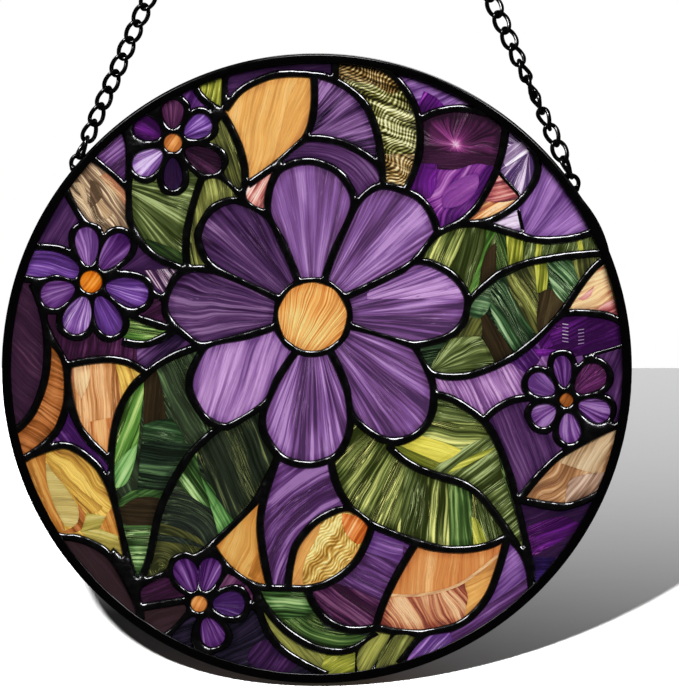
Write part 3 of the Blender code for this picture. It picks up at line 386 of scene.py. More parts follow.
# Areas inside a pane with a glass and streaks of their own, as x, y, x, y and so on. Later ones lie on top,
# and all of them may run past the pane's edge, which cuts them.
PATCHES = {
    "leaf_left": (
        ("leaf_bright", 68, -0.06, 1.3, 0.4,
         (-54, 0, -56, -16, -57, -25, -60, -34, -64, -39, -67, -39, -66, -10)),
        ("leaf_light", 62, 0.0, 0.9, 0.3, (-57, -24, -60, -36, -64, -38, -64, -31)),
        ("olive_brown", 84, 0.0, 0.5, 0.3, (-55, 0, -51, 0, -48, -16, -55, -19)),
        ("leaf_teal", -12, -0.1, 0.8, 0.5, (-55, -18, -46, -16, -42, -23, -55, -25)),
        ("leaf_shade", -5, 0.0, 1.2, 0.5, (-56, -24, -45, -23, -39, -25, -46, -40, -57, -40)),
        ("leaf_fresh", 25, 0.0, 1.0, 0.4, (-64, -44, -59, -39, -49, -39, -48, -43)),
        ("olive_brown", -4, -0.05, 0.6, 0.3, (-64, -46, -57, -41, -47, -42, -48, -50, -60, -50)),
        ("leaf_fresh", 1, 0.03, 1.6, 0.4, (-65, -50, -50, -50, -57, -70)),
    ),
    "leaf_lower_left": (
        ("leaf_night", -67, 0.0, 0.9, 0.4, (-40, -22, -10, -10, -8, -30, -18, -39, -27, -49, -34, -37)),
        ("leaf_fresh", -55, -0.02, 1.5, 0.3,
         (-47, -32, -38, -24, -37, -33, -32, -40, -33, -45, -43, -38)),
        ("leaf_light", -62, -0.12, 1.0, 0.3, (-37, -34, -32, -41, -26, -49, -31, -54, -34, -43)),
        ("olive", (ROUND, (-50, -64)), -0.22, 0.9, 0.3,
         (-51, -49, -39, -53, -35, -57, -42, -54, -51, -52)),
        ("olive", (ROUND, (-50, -64)), -0.33, 0.7, 0.3, (-52, -55, -37, -57, -46, -66, -56, -66)),
    ),
    "leaf_right": (
        ("leaf_teal", -58, -0.14, 1.0, 0.6, (55, 25, 60, 29, 69, 10, 64, 4, 56, 16)),
        ("olive", -62, -0.2, 1.4, 0.6, (60, 29, 70, 34, 71, 9, 64, 19)),
        ("olive_brown", -64, 0.0, 0.7, 0.3, (53, 19, 63, 4, 57, 0, 52, 12)),
        ("olive", 58, -0.18, 1.0, 0.5, (40, 6, 49, 17, 52, 16, 52, 9)),
        ("leaf", (AWAY, (36, -1)), 0.12, 1.6, 0.9, (35, -2, 42, 9, 52, 10, 57, 0, 48, -4)),
        ("leaf_mint", -12, -0.2, 1.2, 0.4, (55, 26, 55, 20, 52, 16, 48, 17, 50, 23)),
        ("lime", 86, 0.04, 1.4, 0.3, (69, 35, 73, 35, 73, 25, 70, 24)),
        ("olive_brown", 78, 0.25, 0.9, 0.3, (71, 24, 75, 25, 79, 20, 73, 10, 70, 12)),
        ("leaf_teal", -50, -0.04, 1.1, 0.6, (73, 35, 82, 34, 84, 28, 80, 20, 75, 25)),
        ("olive", -80, 0.05, 1.3, 0.3, (81, 34, 93, 38, 84, 26)),
    ),
    "leaf_upper_right": (
        ("leaf_streaked", 66, -0.05, 1.5, 0.3, (33, 33, 43, 46, 48, 46, 42, 32)),
        ("leaf_bright", 62, -0.1, 1.3, 0.3, (47, 22, 53, 38, 54, 45, 57, 43, 53, 35, 51, 21)),
        ("olive_brown", 86, 0.08, 0.5, 0.3, (53, 35, 57, 40, 57, 28, 52, 26)),
        ("leaf_deep", -72, -0.05, 1.2, 0.3, (57, 44, 60, 44, 61, 30, 57, 28)),
        ("lime", 84, 0.02, 1.5, 0.4, (60, 44, 65, 44, 65, 31, 61, 30)),
        ("lime", 84, 0.0, 1.3, 0.3, (70, 43, 72, 43, 71, 33, 69, 33)),
        ("lime", 80, -0.05, 1.3, 0.3, (82, 44, 83, 44, 86, 32, 84, 32)),
    ),
    "leaf_lower_right": (
        ("leaf", (AWAY, (42, 8)), -0.1, 1.7, 0.5, (28, -30, 35, -34, 35, -58, 26, -58)),
        ("leaf_deep", (AWAY, (42, 8)), -0.06, 1.4, 0.5, (42, -33, 49, -37, 49, -58, 42, -58)),
        ("leaf", -75, -0.2, 1.0, 0.3, (51, -39, 65, -52, 60, -58, 54, -58, 51, -49)),
        ("lime", -75, 0.06, 1.0, 0.3, (49, -47, 51, -48, 55, -58, 50, -58)),
    ),
    "leaf_streaked": (
        ("leaf", -12, 0.04, 1.0, 0.3, (36, -6, 44, -8, 54, -17, 36, -17)),
        ("leaf", 38, 0.0, 1.5, 0.3, (35, -32, 45, -26, 58, -20, 67, -50, 66, -58, 49, -37)),
        ("lime_bright", -15, -0.05, 0.4, 0.3, (26, -24, 31, -21, 46, -26, 39, -30)),
        ("lime", -24, -0.2, 0.6, 0.3, (25, -24, 39, -30, 35, -33, 28, -30)),
        ("lime", 20, 0.0, 1.0, 0.3, (41, -34, 53, -28, 57, -25, 47, -29)),
        ("leaf_deep", -70, -0.25, 0.8, 0.3, (57, -25, 61, -25, 68, -50, 66, -55, 60, -37)),
    ),
    "band_lilac": (
        ("violet_magenta", 24, -0.4, 0.7, 0.8, (76, 17, 98, 18, 99, 3, 84, 4, 77, 2, 70, 9)),
        ("violet_mauve", -52, 0.0, 1.5, 0.3, (61, 2, 68, 10, 72, 5, 67, -2)),
        ("violet_magenta", 60, 0.1, 0.8, 1.0, (70, 10, 74, 11, 75, 7, 71, 6)),
        ("violet_magenta", 5, 0.12, 0.8, 1.0, (69, 6, 76, 6, 74, 4, 70, 4)),
        *dashes(78, 14, 6, -0.3),
        *dashes(83, 12, 5, 0.3),
    ),
    "pane_magenta": (
        ("maroon_glow", (AWAY, (44, 71)), -0.36, 0.5, 2.0,
         (30, 82, 42, 86, 53, 85, 61, 79, 60, 66, 30, 69)),
        ("magenta_dark", -4, 0.0, 0.5, 1.6, (30, 70, 60, 67, 58, 64, 51, 65, 43, 63, 30, 65)),
        ("violet_magenta", 80, -0.06, 0.4, 1.6, (30, 65, 38, 65, 38, 59, 36, 54, 30, 54)),
        ("orchid_light", 40, -0.2, 0.4, 1.6, (40, 55, 43, 59, 51, 62, 51, 57, 46, 52, 40, 51)),
    ),
    "pane_violet_top_right": (
        ("violet_magenta", 60, -0.02, 0.9, 0.6, (31, 81, 34, 88, 40, 84, 41, 80)),
    ),
    "pane_coral": (
        ("coral_red", 10, 0.14, 0.9, 0.4, (56, 64, 66, 55, 61, 53, 53, 53)),
    ),
    "pane_lilac": (
        ("lilac_white", 38, -0.05, 1.6, 0.3, (59, 69, 65, 72, 68, 69, 60, 64)),
    ),
    "pane_amber_top": (
        ("amber", 64, -0.1, 0.5, 0.6, (-7, 90, -1, 92, 2, 86, -5, 73, -12, 67, -11, 78)),
    ),
    "pane_amber_low": (
        ("amber_low", 62, -0.18, 0.6, 0.5, (-22, -66, -19, -58, -14, -70)),
    ),
    "crescent_green": (
        ("leaf_fresh", -4, -0.1, 1.3, 0.5, (-21, -69, -3, -69, 1, -77, -12, -80)),
        ("leaf_black", (ROUND, (5, -57)), 0.1, 0.9, 0.4, (0, -77, 8, -79, 20, -81, 19, -85, 3, -83)),
    ),
    "strip_green": (
        ("lime", 30, 0.0, 0.8, 0.6, (4, -89, 14, -89, 14, -98, 1, -98)),
    ),
    "pane_plum_bottom": (
        ("plum_red", -36, 0.02, 1.2, 0.4, (-5, -70, 5, -68, 20, -74, 20, -86, 5, -86)),
        ("violet_smooth", -16, -0.18, 0.8, 0.4, (17, -48, 28, -50, 27, -62, 15, -58)),
    ),
    "pane_plum_bottom_left": (
        ("plum", 52, 0.1, 1.2, 0.8, (-20, -88, -14, -86, -5, -93, -12, -98, -22, -93)),
    ),
    "pane_amber_bottom": (
        ("rust_feather", -56, 0.1, 1.0, 1.6,
         (17, -73, 33, -72, 42, -70, 47, -68, 48, -74, 45, -86, 17, -86)),
        ("amber", 30, 0.0, 0.7, 1.0, (47, -68, 59, -58, 58, -70, 45, -84, 48, -73)),
        ("peach_pale", 24, -0.05, 0.4, 0.6, ribbon(0.9, 23, -72, 33, -72, 42, -70, 48, -67, 59, -58)),
    ),
    "pane_tan_right": (
        ("tan_pale", 60, -0.1, 0.9, 0.8, (75, -29, 87, -20, 95, -20, 90, -34, 80, -31)),
        ("tan_grey", 55, 0.0, 1.1, 0.8, (79, -45, 80, -36, 84, -34, 94, -33, 94, -44)),
    ),
    "pane_plum_right": (
        ("violet_magenta", 22, -0.3, 0.8, 0.6, (66, -51, 78, -47, 84, -50, 74, -57, 67, -60)),
        ("indigo", 5, 0.05, 0.8, 0.6, (65, -60, 76, -60, 70, -69, 65, -69)),
    ),
    "strip_violet_right": (
        ("violet_smooth", 42, -0.16, 0.9, 0.5, (60, -53, 69, -59, 67, -66, 54, -75, 57, -62)),
        ("violet_pale", 44, -0.12, 1.2, 0.4, (30, -84, 40, -82, 43, -86, 36, -93, 27, -93)),
    ),
    "pane_yellow": (
        ("amber_low", -65, -0.12, 0.9, 0.8,
         (-95, -30, -86, -26, -85, -39, -80, -51, -83, -55, -90, -44)),
        ("yellow_pale", -5, 0.0, 0.6, 0.4, (-86, -30, -76, -44, -76, -50, -80, -50, -85, -39)),
        ("brown", -60, 0.18, 0.8, 0.6, (-76, -43, -74, -46, -74, -50, -76, -52, -81, -52, -76, -49)),
        ("yellow", -42, 0.22, 0.8, 0.3, (-86, -29, -77, -37, -68, -44, -71, -46, -83, -34)),
        ("yellow_green", 10, 0.0, 0.7, 0.5, (-73, -46, -67, -47, -69, -53, -75, -52)),
        ("yellow_green", -14, 0.08, 0.9, 0.5, (-75, -52, -64, -50, -62, -59, -69, -56)),
        ("amber_low", -70, -0.05, 0.7, 0.5, (-67, -47, -65, -44, -61, -54, -69, -51)),
    ),
    "pane_peach_left": (
        ("peach_pale", -84, -0.14, 1.0, 0.6, (-81, 4, -74, 4, -72, -2, -75, -10)),
        ("yellow", -72, 0.2, 1.1, 0.6, (-65, 4, -53, 1, -62, -13, -63, -3)),
        ("amber_rust", -86, 0.02, 1.0, 0.6, (-72, -17, -62, -15, -62, -28, -69, -28)),
    ),
    "pane_peach_right": (
        ("coral_red", 30, 0.22, 0.9, 0.6, (83, 22, 88, 26, 86, 22)),
        ("coral_red", 30, 0.2, 0.9, 0.6, (89, 18, 92, 21, 99, 22, 99, 16)),
    ),
    "pane_plum_left": (
        ("violet_lively", 40, -0.1, 0.8, 0.4, (-57, 7, -45, 11, -38, 10, -50, 0, -56, -1)),
    ),
    "pane_plum_middle": (
        ("plum_pale", -56, 0.0, 1.7, 0.2, (-55, 31, -43, 32, -46, 22, -52, 27)),
    ),
    "leaf_upper_left": (
        ("leaf_deep", -34, 0.0, 0.8, 0.3, (-57, 42, -41, 36, -38, 33, -42, 28, -52, 34)),
    ),
    "pane_tan_left": (
        ("tan_pale", -60, 0.25, 0.9, 0.8, (-77, 59, -74, 58, -73, 51)),
        ("peach_pale", -50, -0.1, 1.0, 1.0, (-69, 61, -64, 62, -60, 57, -60, 51)),
        ("tan_pale", -55, 0.2, 1.2, 0.8, (-71, 54, -69, 54, -65, 49, -67, 47)),
        ("tan", -60, -0.22, 0.9, 0.8, (-72, 60, -70, 59, -68, 55, -72, 51)),
    ),
    "petal_right": (
        ("petal_lilac", (AWAY, "eye_glass"), -0.02, 1.5, 0.3, (16, 22, 48, 22, 48, 30, 40, 34, 17, 25)),
    ),
    "ripple_green_top": (
        ("ripple_brown", -20, 0.0, 0.8, 0.6, (4, 99, 16, 99, 28, 90, 24, 87, 18, 90, 4, 92)),
        ("ripple_brown", -20, 0.06, 0.8, 0.6, (18, 68, 33, 68, 33, 54, 18, 54)),
    ),
    "ripple_amber_bottom": (
        ("amber", 60, 0.05, 0.6, 0.4, (-10, -72, -10, -58, 0, -46, 1, -51, -4, -62, -4, -72)),
        ("amber", 60, 0.05, 0.6, 0.4, (-4, -72, -4, -69, 6, -66, 13, -57, 14, -60, 6, -72)),
        ("orange_red", 60, 0.0, 0.9, 0.4, (8, -46, 19, -48, 17, -53, 13, -56, 9, -52)),
    ),
}


def to_world(points):
    """Panel points in millimetres as world points in metres."""
    x, y, height = np.asarray(points, float).T * MM
    return np.stack([CENTRE.x + x, CENTRE.y - height, CENTRE.z + y], 1)


def node_points(node):
    """A CAD node's vertices as panel points."""
    co = np.array([v.co[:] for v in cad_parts[node].data.vertices], float)
    return np.stack([(co[:, 0] - CENTRE.x), (co[:, 2] - CENTRE.z), (CENTRE.y - co[:, 1])], 1) / MM


def signed_area(loop):
    """Area of a closed outline, positive when it runs anticlockwise."""
    after = np.roll(loop, -1, 0)
    return 0.5 * float(np.sum(loop[:, 0] * after[:, 1] - after[:, 0] * loop[:, 1]))


def front_outlines(node):
    """Anticlockwise outlines of a node's front face, the largest first."""
    points = node_points(node)
    front = points[:, 2].max() - SAME_HEIGHT
    merged, index = {}, []
    for point in points:
        index.append(merged.setdefault((round(point[0], 3), round(point[1], 3)), len(merged)))
    flat = np.array(list(merged), float)
    edges = set()
    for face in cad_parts[node].data.polygons:
        corners = list(face.vertices)
        if all(points[i][2] > front for i in corners):
            ring = [index[i] for i in corners]
            edges.update(zip(ring, ring[1:] + ring[:1]))
    following = {a: b for a, b in edges if (b, a) not in edges}
    outlines = []
    while following:
        start = next(iter(following))
        loop = [start]
        while following[loop[-1]] != start:
            loop.append(following[loop[-1]])
        for i in loop:
            del following[i]
        outline = flat[loop]
        outlines.append(outline if signed_area(outline) > 0 else outline[::-1])
    return sorted(outlines, key=signed_area, reverse=True)


def unit(vectors):
    """Vectors of length one."""
    return vectors / np.maximum(np.linalg.norm(vectors, axis=-1, keepdims=True), TINY)


def even_turns(count):
    """Angles that divide a circle evenly."""
    return np.arange(count) * 2 * math.pi / count


def smooth_outline(loop, corner, step):
    """Round a polygon between its corners, with points about a step apart.

    The CAD's sides stand for curves that were straightened a little, so none bulges by more than SIDE_BULGE.
    At a sharp tip the two sides bend inwards by less than the tip's own angle, so they never cross.
    """
    after = np.roll(loop, -1, 0) - loop
    before = np.roll(after, 1, 0)
    tangent = unit(before + after)
    turn = np.arccos(np.clip(np.sum(unit(before) * unit(after), 1), -1, 1))
    smooth = []
    for i in range(len(loop)):
        j = (i + 1) % len(loop)
        length = np.linalg.norm(after[i])
        chord = after[i] / length
        aside = np.array([-chord[1], chord[0]])
        start, end = np.dot(tangent[i], aside), np.dot(tangent[j], aside)
        if turn[i] > corner and turn[j] > corner:
            start = end = 0.0
        elif turn[i] > corner:
            start = -end
        elif turn[j] > corner:
            end = -start
        limit = min(STEEPEST_SIDE, 4 * SIDE_BULGE / length)
        start, end = (float(np.clip(s, -limit, limit)) for s in (start, end))
        start = min(start, math.sin(TIP_SHARE * (math.pi - turn[i])))
        end = max(end, -math.sin(TIP_SHARE * (math.pi - turn[j])))
        start, end = (chord * math.sqrt(1 - s * s) + aside * s for s in (start, end))
        t = np.arange(max(1, round(length / step)))[:, None] / max(1, round(length / step))
        smooth.append((2 * t ** 3 - 3 * t ** 2 + 1) * loop[i] + (t ** 3 - 2 * t ** 2 + t) * length * start
                      + (3 * t ** 2 - 2 * t ** 3) * loop[j] + (t ** 3 - t ** 2) * length * end)
    return np.concatenate(smooth)


def grown(loop, distance):
    """An anticlockwise outline moved outwards by a distance."""
    before, after = unit(loop - np.roll(loop, 1, 0)), unit(np.roll(loop, -1, 0) - loop)
    out_before = np.stack([before[:, 1], -before[:, 0]], 1)
    out_after = np.stack([after[:, 1], -after[:, 0]], 1)
    normal = unit(out_before + out_after)
    mitre = np.maximum(SHARPEST_MITRE, np.sum(normal * out_after, 1, keepdims=True))
    return loop + normal * distance / mitre


def inside(points, loop):
    """Which points lie inside a closed outline."""
    ax, ay = loop[:, 0], loop[:, 1]
    bx, by = np.roll(ax, -1), np.roll(ay, -1)
    result = np.zeros(len(points), bool)
    for start in range(0, len(points), BATCH):
        x, y = points[start:start + BATCH, 0:1], points[start:start + BATCH, 1:2]
        spans = (ay > y) != (by > y)
        slope = np.where(by == ay, 1.0, by - ay)
        crossing = spans & (x < ax + (y - ay) * (bx - ax) / slope)
        result[start:start + BATCH] = crossing.sum(1) % 2 == 1
    return result


def distance_to(points, loop):
    """Distance of each point from a closed outline."""
    a, b = loop, np.roll(loop, -1, 0)
    along = b - a
    squared = np.maximum(np.sum(along ** 2, 1), 1e-12)
    result = np.empty(len(points))
    for start in range(0, len(points), BATCH):
        p = points[start:start + BATCH, None, :] - a[None]
        t = np.clip(np.sum(p * along, 2) / squared, 0, 1)
        result[start:start + BATCH] = np.sqrt(np.min(np.sum((p - t[..., None] * along) ** 2, 2), 1))
    return result


def hex_grid(low, high, step, seed):
    """Points of a triangular grid over a box, moved a little so that no four lie on a circle."""
    rows = np.arange(low[1], high[1], step * math.sqrt(3) / 2)
    columns = np.arange(low[0], high[0], step)
    x = columns[None, :] + (np.arange(len(rows)) % 2)[:, None] * step / 2
    y = np.broadcast_to(rows[:, None], x.shape)
    shake = np.random.default_rng(seed).uniform(-GRID_SHAKE, GRID_SHAKE, (x.size, 2)) * step
    return np.stack([x.ravel(), y.ravel()], 1) + shake


def triangles_of(points, faces):
    """Triangles that fill some outlines, and for each the outlines that hold it."""
    result = delaunay_2d_cdt([Vector(p) for p in points.tolist()], [], faces, 1, SAME_POINT)
    flat = np.array([p[:] for p in result[0]], float)
    tris = np.array(result[2], int)
    a, b, c = flat[tris[:, 0]], flat[tris[:, 1]], flat[tris[:, 2]]
    turned = (b - a)[:, 0] * (c - a)[:, 1] - (b - a)[:, 1] * (c - a)[:, 0] < 0
    tris[turned] = tris[turned][:, ::-1]
    return flat, tris, result[5]


def boundary_edges(tris):
    """Edges that only one triangle has, running with it."""
    edges = np.concatenate([tris[:, (0, 1)], tris[:, (1, 2)], tris[:, (2, 0)]])
    key = np.sort(edges, 1)
    _, first, count = np.unique(key, axis=0, return_index=True, return_counts=True)
    return edges[first[count == 1]]


def waves(points, size, seed):
    """Smooth random unevenness between about -1 and 1, with bumps of about the given size."""
    rng = np.random.default_rng(seed)
    total = np.zeros(len(points))
    for _ in range(WAVE_COUNT):
        angle, phase = rng.uniform(0, 2 * math.pi, 2)
        k = 2 * math.pi / (size * rng.uniform(0.7, 1.8))
        total += np.sin(k * (points[:, 0] * math.cos(angle) + points[:, 1] * math.sin(angle)) + phase)
    return total / math.sqrt(WAVE_COUNT) * 0.8


def film_rise(points, tris, held):
    """Height of an evenly blown film on a held outline: round over a strip, fuller at a joint."""
    load = np.zeros(len(points))
    rows, columns, weights = [], [], []
    corner = [points[tris[:, k]] for k in range(3)]
    double_area = np.abs(np.cross(corner[1] - corner[0], corner[2] - corner[0]))
    for k in range(3):
        load += np.bincount(tris[:, k], double_area / 6, len(points))
        one, two = corner[(k + 1) % 3] - corner[k], corner[(k + 2) % 3] - corner[k]
        weights.append(np.sum(one * two, 1) / np.maximum(double_area, TINY) / 2)
        rows.append(tris[:, (k + 1) % 3])
        columns.append(tris[:, (k + 2) % 3])
    rows, columns, weights = (np.concatenate(x) for x in (rows, columns, weights))
    diagonal = np.bincount(rows, weights, len(points)) + np.bincount(columns, weights, len(points))
    diagonal = np.maximum(diagonal, 1e-6)

    def pull(u):
        flow = weights * (u[rows] - u[columns])
        out = np.bincount(rows, flow, len(points)) - np.bincount(columns, flow, len(points))
        out[held] = 0.0
        return out

    load[held] = 0.0
    height = np.zeros(len(points))
    residual = load.copy()
    scaled = residual / diagonal
    direction = scaled.copy()
    energy = residual @ scaled
    for _ in range(FILM_ROUNDS):
        pulled = pull(direction)
        step = energy / max(direction @ pulled, 1e-12)
        height += step * direction
        residual -= step * pulled
        scaled = residual / diagonal
        renewed = residual @ scaled
        if renewed < FILM_REST:
            break
        direction = scaled + direction * renewed / energy
        energy = renewed
    return np.sqrt(2 * np.maximum(height, 0.0))


def add_piece(name, points, faces, materials, slot, node, smooth=None):
    """A mesh piece in panel coordinates. It rides on the root body and replaces its CAD node, if any."""
    mesh = bpy.data.meshes.new(name)
    mesh.from_pydata(to_world(points).tolist(), [], [list(f) for f in faces])
    for material in materials:
        mesh.materials.append(material)
    flags = np.ones(len(mesh.polygons), bool) if smooth is None else smooth
    mesh.polygons.foreach_set("use_smooth", flags)
    mesh.update()
    piece = bpy.data.objects.new(name, mesh)
    bpy.context.scene.collection.objects.link(piece)
    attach(piece, "root")
    if node:
        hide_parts(node)
    return piece


def add_attribute(piece, name, values, domain="CORNER"):
    """A number or vector for each corner or point of a piece."""
    kind, field = ("FLOAT", "value") if values.ndim == 1 else ("FLOAT_VECTOR", "vector")
    attribute = piece.data.attributes.new(name, kind, domain)
    attribute.data.foreach_set(field, values.astype(np.float32).ravel())


# Materials

class Signal:
    """A shader output that is added, subtracted and multiplied like a number."""

    def __init__(self, socket):
        self.socket = socket

    def __add__(self, other):
        return math_node("ADD", self, other)

    def __sub__(self, other):
        return math_node("SUBTRACT", self, other)

    def __mul__(self, other):
        return math_node("MULTIPLY", self, other)

    def __abs__(self):
        return math_node("ABSOLUTE", self)


def new_material(name, roughness, specular, metallic=0.0):
    """A Principled material, with its tree and its shader's inputs."""
    material = bpy.data.materials.new(name)
    material.use_nodes = True
    inputs = material.node_tree.nodes["Principled BSDF"].inputs
    put(inputs["Base Color"], (0.5, 0.5, 0.5, 1.0))
    put(inputs["Roughness"], roughness)
    put(inputs["Specular IOR Level"], specular)
    put(inputs["Metallic"], metallic)
    return material, material.node_tree, inputs


def put(socket, value):
    """Link a signal or set a value into an input."""
    if isinstance(value, Signal):
        socket.id_data.links.new(value.socket, socket)
    else:
        socket.default_value = value


def node_of(tree, kind, *values):
    """A node with its first inputs set or linked."""
    node = tree.nodes.new(kind)
    for socket, value in zip(node.inputs, values):
        put(socket, value)
    return node


def output_of(tree, kind, name):
    """A named output of a new node."""
    return Signal(tree.nodes.new(kind).outputs[name])


def math_node(operation, *values, clamp=False):
    """A Math node over signals and numbers."""
    tree = next(value.socket.id_data for value in values if isinstance(value, Signal))
    node = node_of(tree, "ShaderNodeMath", *values)
    node.operation = operation
    node.use_clamp = clamp
    return Signal(node.outputs[0])


def vector_node(tree, x, y, z):
    """A vector from three signals or numbers."""
    return Signal(node_of(tree, "ShaderNodeCombineXYZ", x, y, z).outputs[0])


def noise_node(tree, vector, scale, detail, roughness=0.5):
    """Noise between 0 and 1."""
    node = tree.nodes.new("ShaderNodeTexNoise")
    for name, value in (("Vector", vector), ("Scale", scale), ("Detail", detail), ("Roughness", roughness)):
        put(node.inputs[name], value)
    return Signal(node.outputs["Fac"])


def range_node(tree, value, low, high, to_low=0.0, to_high=1.0):
    """A value moved smoothly from one range to another, and kept inside it."""
    node = node_of(tree, "ShaderNodeMapRange", value, low, high, to_low, to_high)
    node.interpolation_type = "SMOOTHSTEP"
    return Signal(node.outputs[0])


def mix_node(tree, factor, one, two):
    """Two colours mixed by a factor."""
    node = tree.nodes.new("ShaderNodeMix")
    node.data_type = "RGBA"
    for place, value in ((0, factor), (6, one), (7, two)):
        put(node.inputs[place], value)
    return Signal(node.outputs[2])


def attribute_node(tree, name, output="Fac"):
    """A mesh attribute, as a number or a vector."""
    node = tree.nodes.new("ShaderNodeAttribute")
    node.attribute_name = name
    return Signal(node.outputs[output])


def vector_parts(tree, name):
    """The three numbers of a vector attribute."""
    node = node_of(tree, "ShaderNodeSeparateXYZ", attribute_node(tree, name, "Vector"))
    return [Signal(socket) for socket in node.outputs]


def linear(tone):
    """A hexadecimal display colour as the linear colour that a shader takes, by the sRGB curve."""
    values = [int(tone[i:i + 2], 16) / 255 for i in (0, 2, 4)]
    return tuple(v / 12.92 if v <= 0.04045 else ((v + 0.055) / 1.055) ** 2.4 for v in values) + (1.0,)


def bump_node(tree, height, distance, strength):
    """A normal from a height whose full range is a distance in millimetres."""
    node = tree.nodes.new("ShaderNodeBump")
    for name, value in (("Strength", strength), ("Distance", distance * MM), ("Height", height)):
        put(node.inputs[name], value)
    return Signal(node.outputs[0])


def glass_material(name):
    """Opalescent glass: five-tone streaks, hair lines of light (partly painted glints) and dark, and painted
    shade by the lead.
    """
    tones = [linear(tone) for tone in GLASS[name].split()]
    material, tree, inputs = new_material("glass_" + name, 0.16, 0.35)
    along, across, seed = vector_parts(tree, "flow")
    shade, contrast, wobble = vector_parts(tree, "finish")
    drift = noise_node(tree, vector_node(tree, along * 0.07, across * 0.09, seed), 1.0, 1.0)
    lane = across + (drift - 0.5) * (wobble * 4.5)

    def streaks(along_rate, across_rate, own_seed, detail):
        """Noise drawn out along the streaks."""
        place = vector_node(tree, along * along_rate, lane * across_rate, seed + own_seed)
        return noise_node(tree, place, 1.0, detail, 0.55)

    if name.startswith(("leaf", "lime", "olive")):
        broad_share, fine_share, hair_share, fineness = LEAFY_STREAKS
    elif name == "amber_eye":
        broad_share, fine_share, hair_share, fineness = FEATHERED_STREAKS
    else:
        broad_share, fine_share, hair_share, fineness = PLAIN_STREAKS
    broad = streaks(0.022, 0.22, 0.0, 2.0) - 0.5
    fine = streaks(0.03, fineness, 5.3, 3.0) - 0.5
    # Darker within 2.6 mm of the lead: painted shade, as if the raised lead shadowed the glass. The same
    # darkening, weaker, runs along each patch's outline.
    lead_shade_and_patch_darkening = range_node(tree, attribute_node(tree, "edge"), 0.0, 2.6, 0.22, 0.0)
    tone = (broad * broad_share + fine * fine_share) * contrast + 0.5 + shade
    # Plus the pane's painted light and shade from its ripples and glows.
    ramp = node_of(tree, "ShaderNodeValToRGB", tone - lead_shade_and_patch_darkening + attribute_node(tree, "painted_light_and_shade"))
    stops = ramp.color_ramp.elements
    for place, colour in zip(TONE_PLACES, tones):
        stop = stops.new(place)
        stop.color = colour
    stops.remove(stops[0])
    stops.remove(stops[-1])

    # Pale hair lines are streaks of the glass and partly painted glints, a painted highlight in the lightest
    # tone; the dark hair lines are the glass's own.
    hair = streaks(0.035, 1.7, 11.7, 1.0)
    pale_hair_and_glint = range_node(tree, abs(abs(hair - 0.53) - 0.045), 0.003, 0.016, 1.0, 0.0)
    dark_hair = range_node(tree, abs(hair - 0.41), 0.003, 0.018, 1.0, 0.0)
    patchy = range_node(tree, streaks(0.05, 0.16, 21.1, 1.0), 0.45, 0.62)
    bright = math_node("MULTIPLY", pale_hair_and_glint * patchy, contrast * hair_share, clamp=True)
    dark = math_node("MULTIPLY", dark_hair, contrast * 0.45, clamp=True)
    colour = mix_node(tree, bright, Signal(ramp.outputs[0]), tones[4])
    put(inputs["Base Color"], mix_node(tree, dark, colour, tones[0]))
    put(inputs["Normal"], bump_node(tree, fine + pale_hair_and_glint * 0.25, 0.35, 0.7))
    put(inputs["Roughness"], range_node(tree, fine, -0.3, 0.3, 0.1, 0.24))
    return material


def metal_material(name, colour, roughness, graininess, metallic, specular):
    """Blackened metal: a dark body with fine scratches, dull patches and small pits."""
    material, tree, inputs = new_material(name, roughness, specular, metallic)
    place = output_of(tree, "ShaderNodeTexCoord", "Object")
    patches = noise_node(tree, place, 260.0, 4.0, 0.6)
    grain = noise_node(tree, place, 1500.0, 3.0, 0.6)
    deep, pale = (tuple(c * k for c in colour) + (1.0,) for k in (0.7, 1.5))
    put(inputs["Base Color"], mix_node(tree, range_node(tree, patches, 0.35, 0.7), deep, pale))
    put(inputs["Roughness"], range_node(tree, patches, 0.3, 0.7, roughness * 0.8, roughness * 1.3))
    put(inputs["Normal"], bump_node(tree, grain + patches * 2.0, graininess, 0.8))
    return material


def lead_material():
    """Dark solder: smooth along the beads, crusty with bright specks at the joints."""
    material, tree, inputs = new_material("lead_patina", 0.2, 0.4, 1.0)
    place = output_of(tree, "ShaderNodeTexCoord", "Object")
    joint = attribute_node(tree, "joint")
    patches = noise_node(tree, place, 330.0, 3.0, 0.6)
    grain = noise_node(tree, place, 1300.0, 3.0, 0.65)
    deep, pale = (0.05, 0.05, 0.052, 1), (0.09, 0.09, 0.095, 1)
    put(inputs["Base Color"], mix_node(tree, range_node(tree, patches, 0.35, 0.7), deep, pale))
    put(inputs["Roughness"], joint * 0.1 + range_node(tree, patches, 0.3, 0.7, 0.1, 0.17))
    put(inputs["Normal"], bump_node(tree, grain * (joint * 0.8 + 0.08), 0.16, 0.8))
    return material


# Leadwork and glass

def numbered(shapes):
    """Point numbers of several outlines that follow each other in one list."""
    ends = np.cumsum([len(shape) for shape in shapes]).tolist()
    return [list(range(end - len(shape), end)) for shape, end in zip(shapes, ends)]


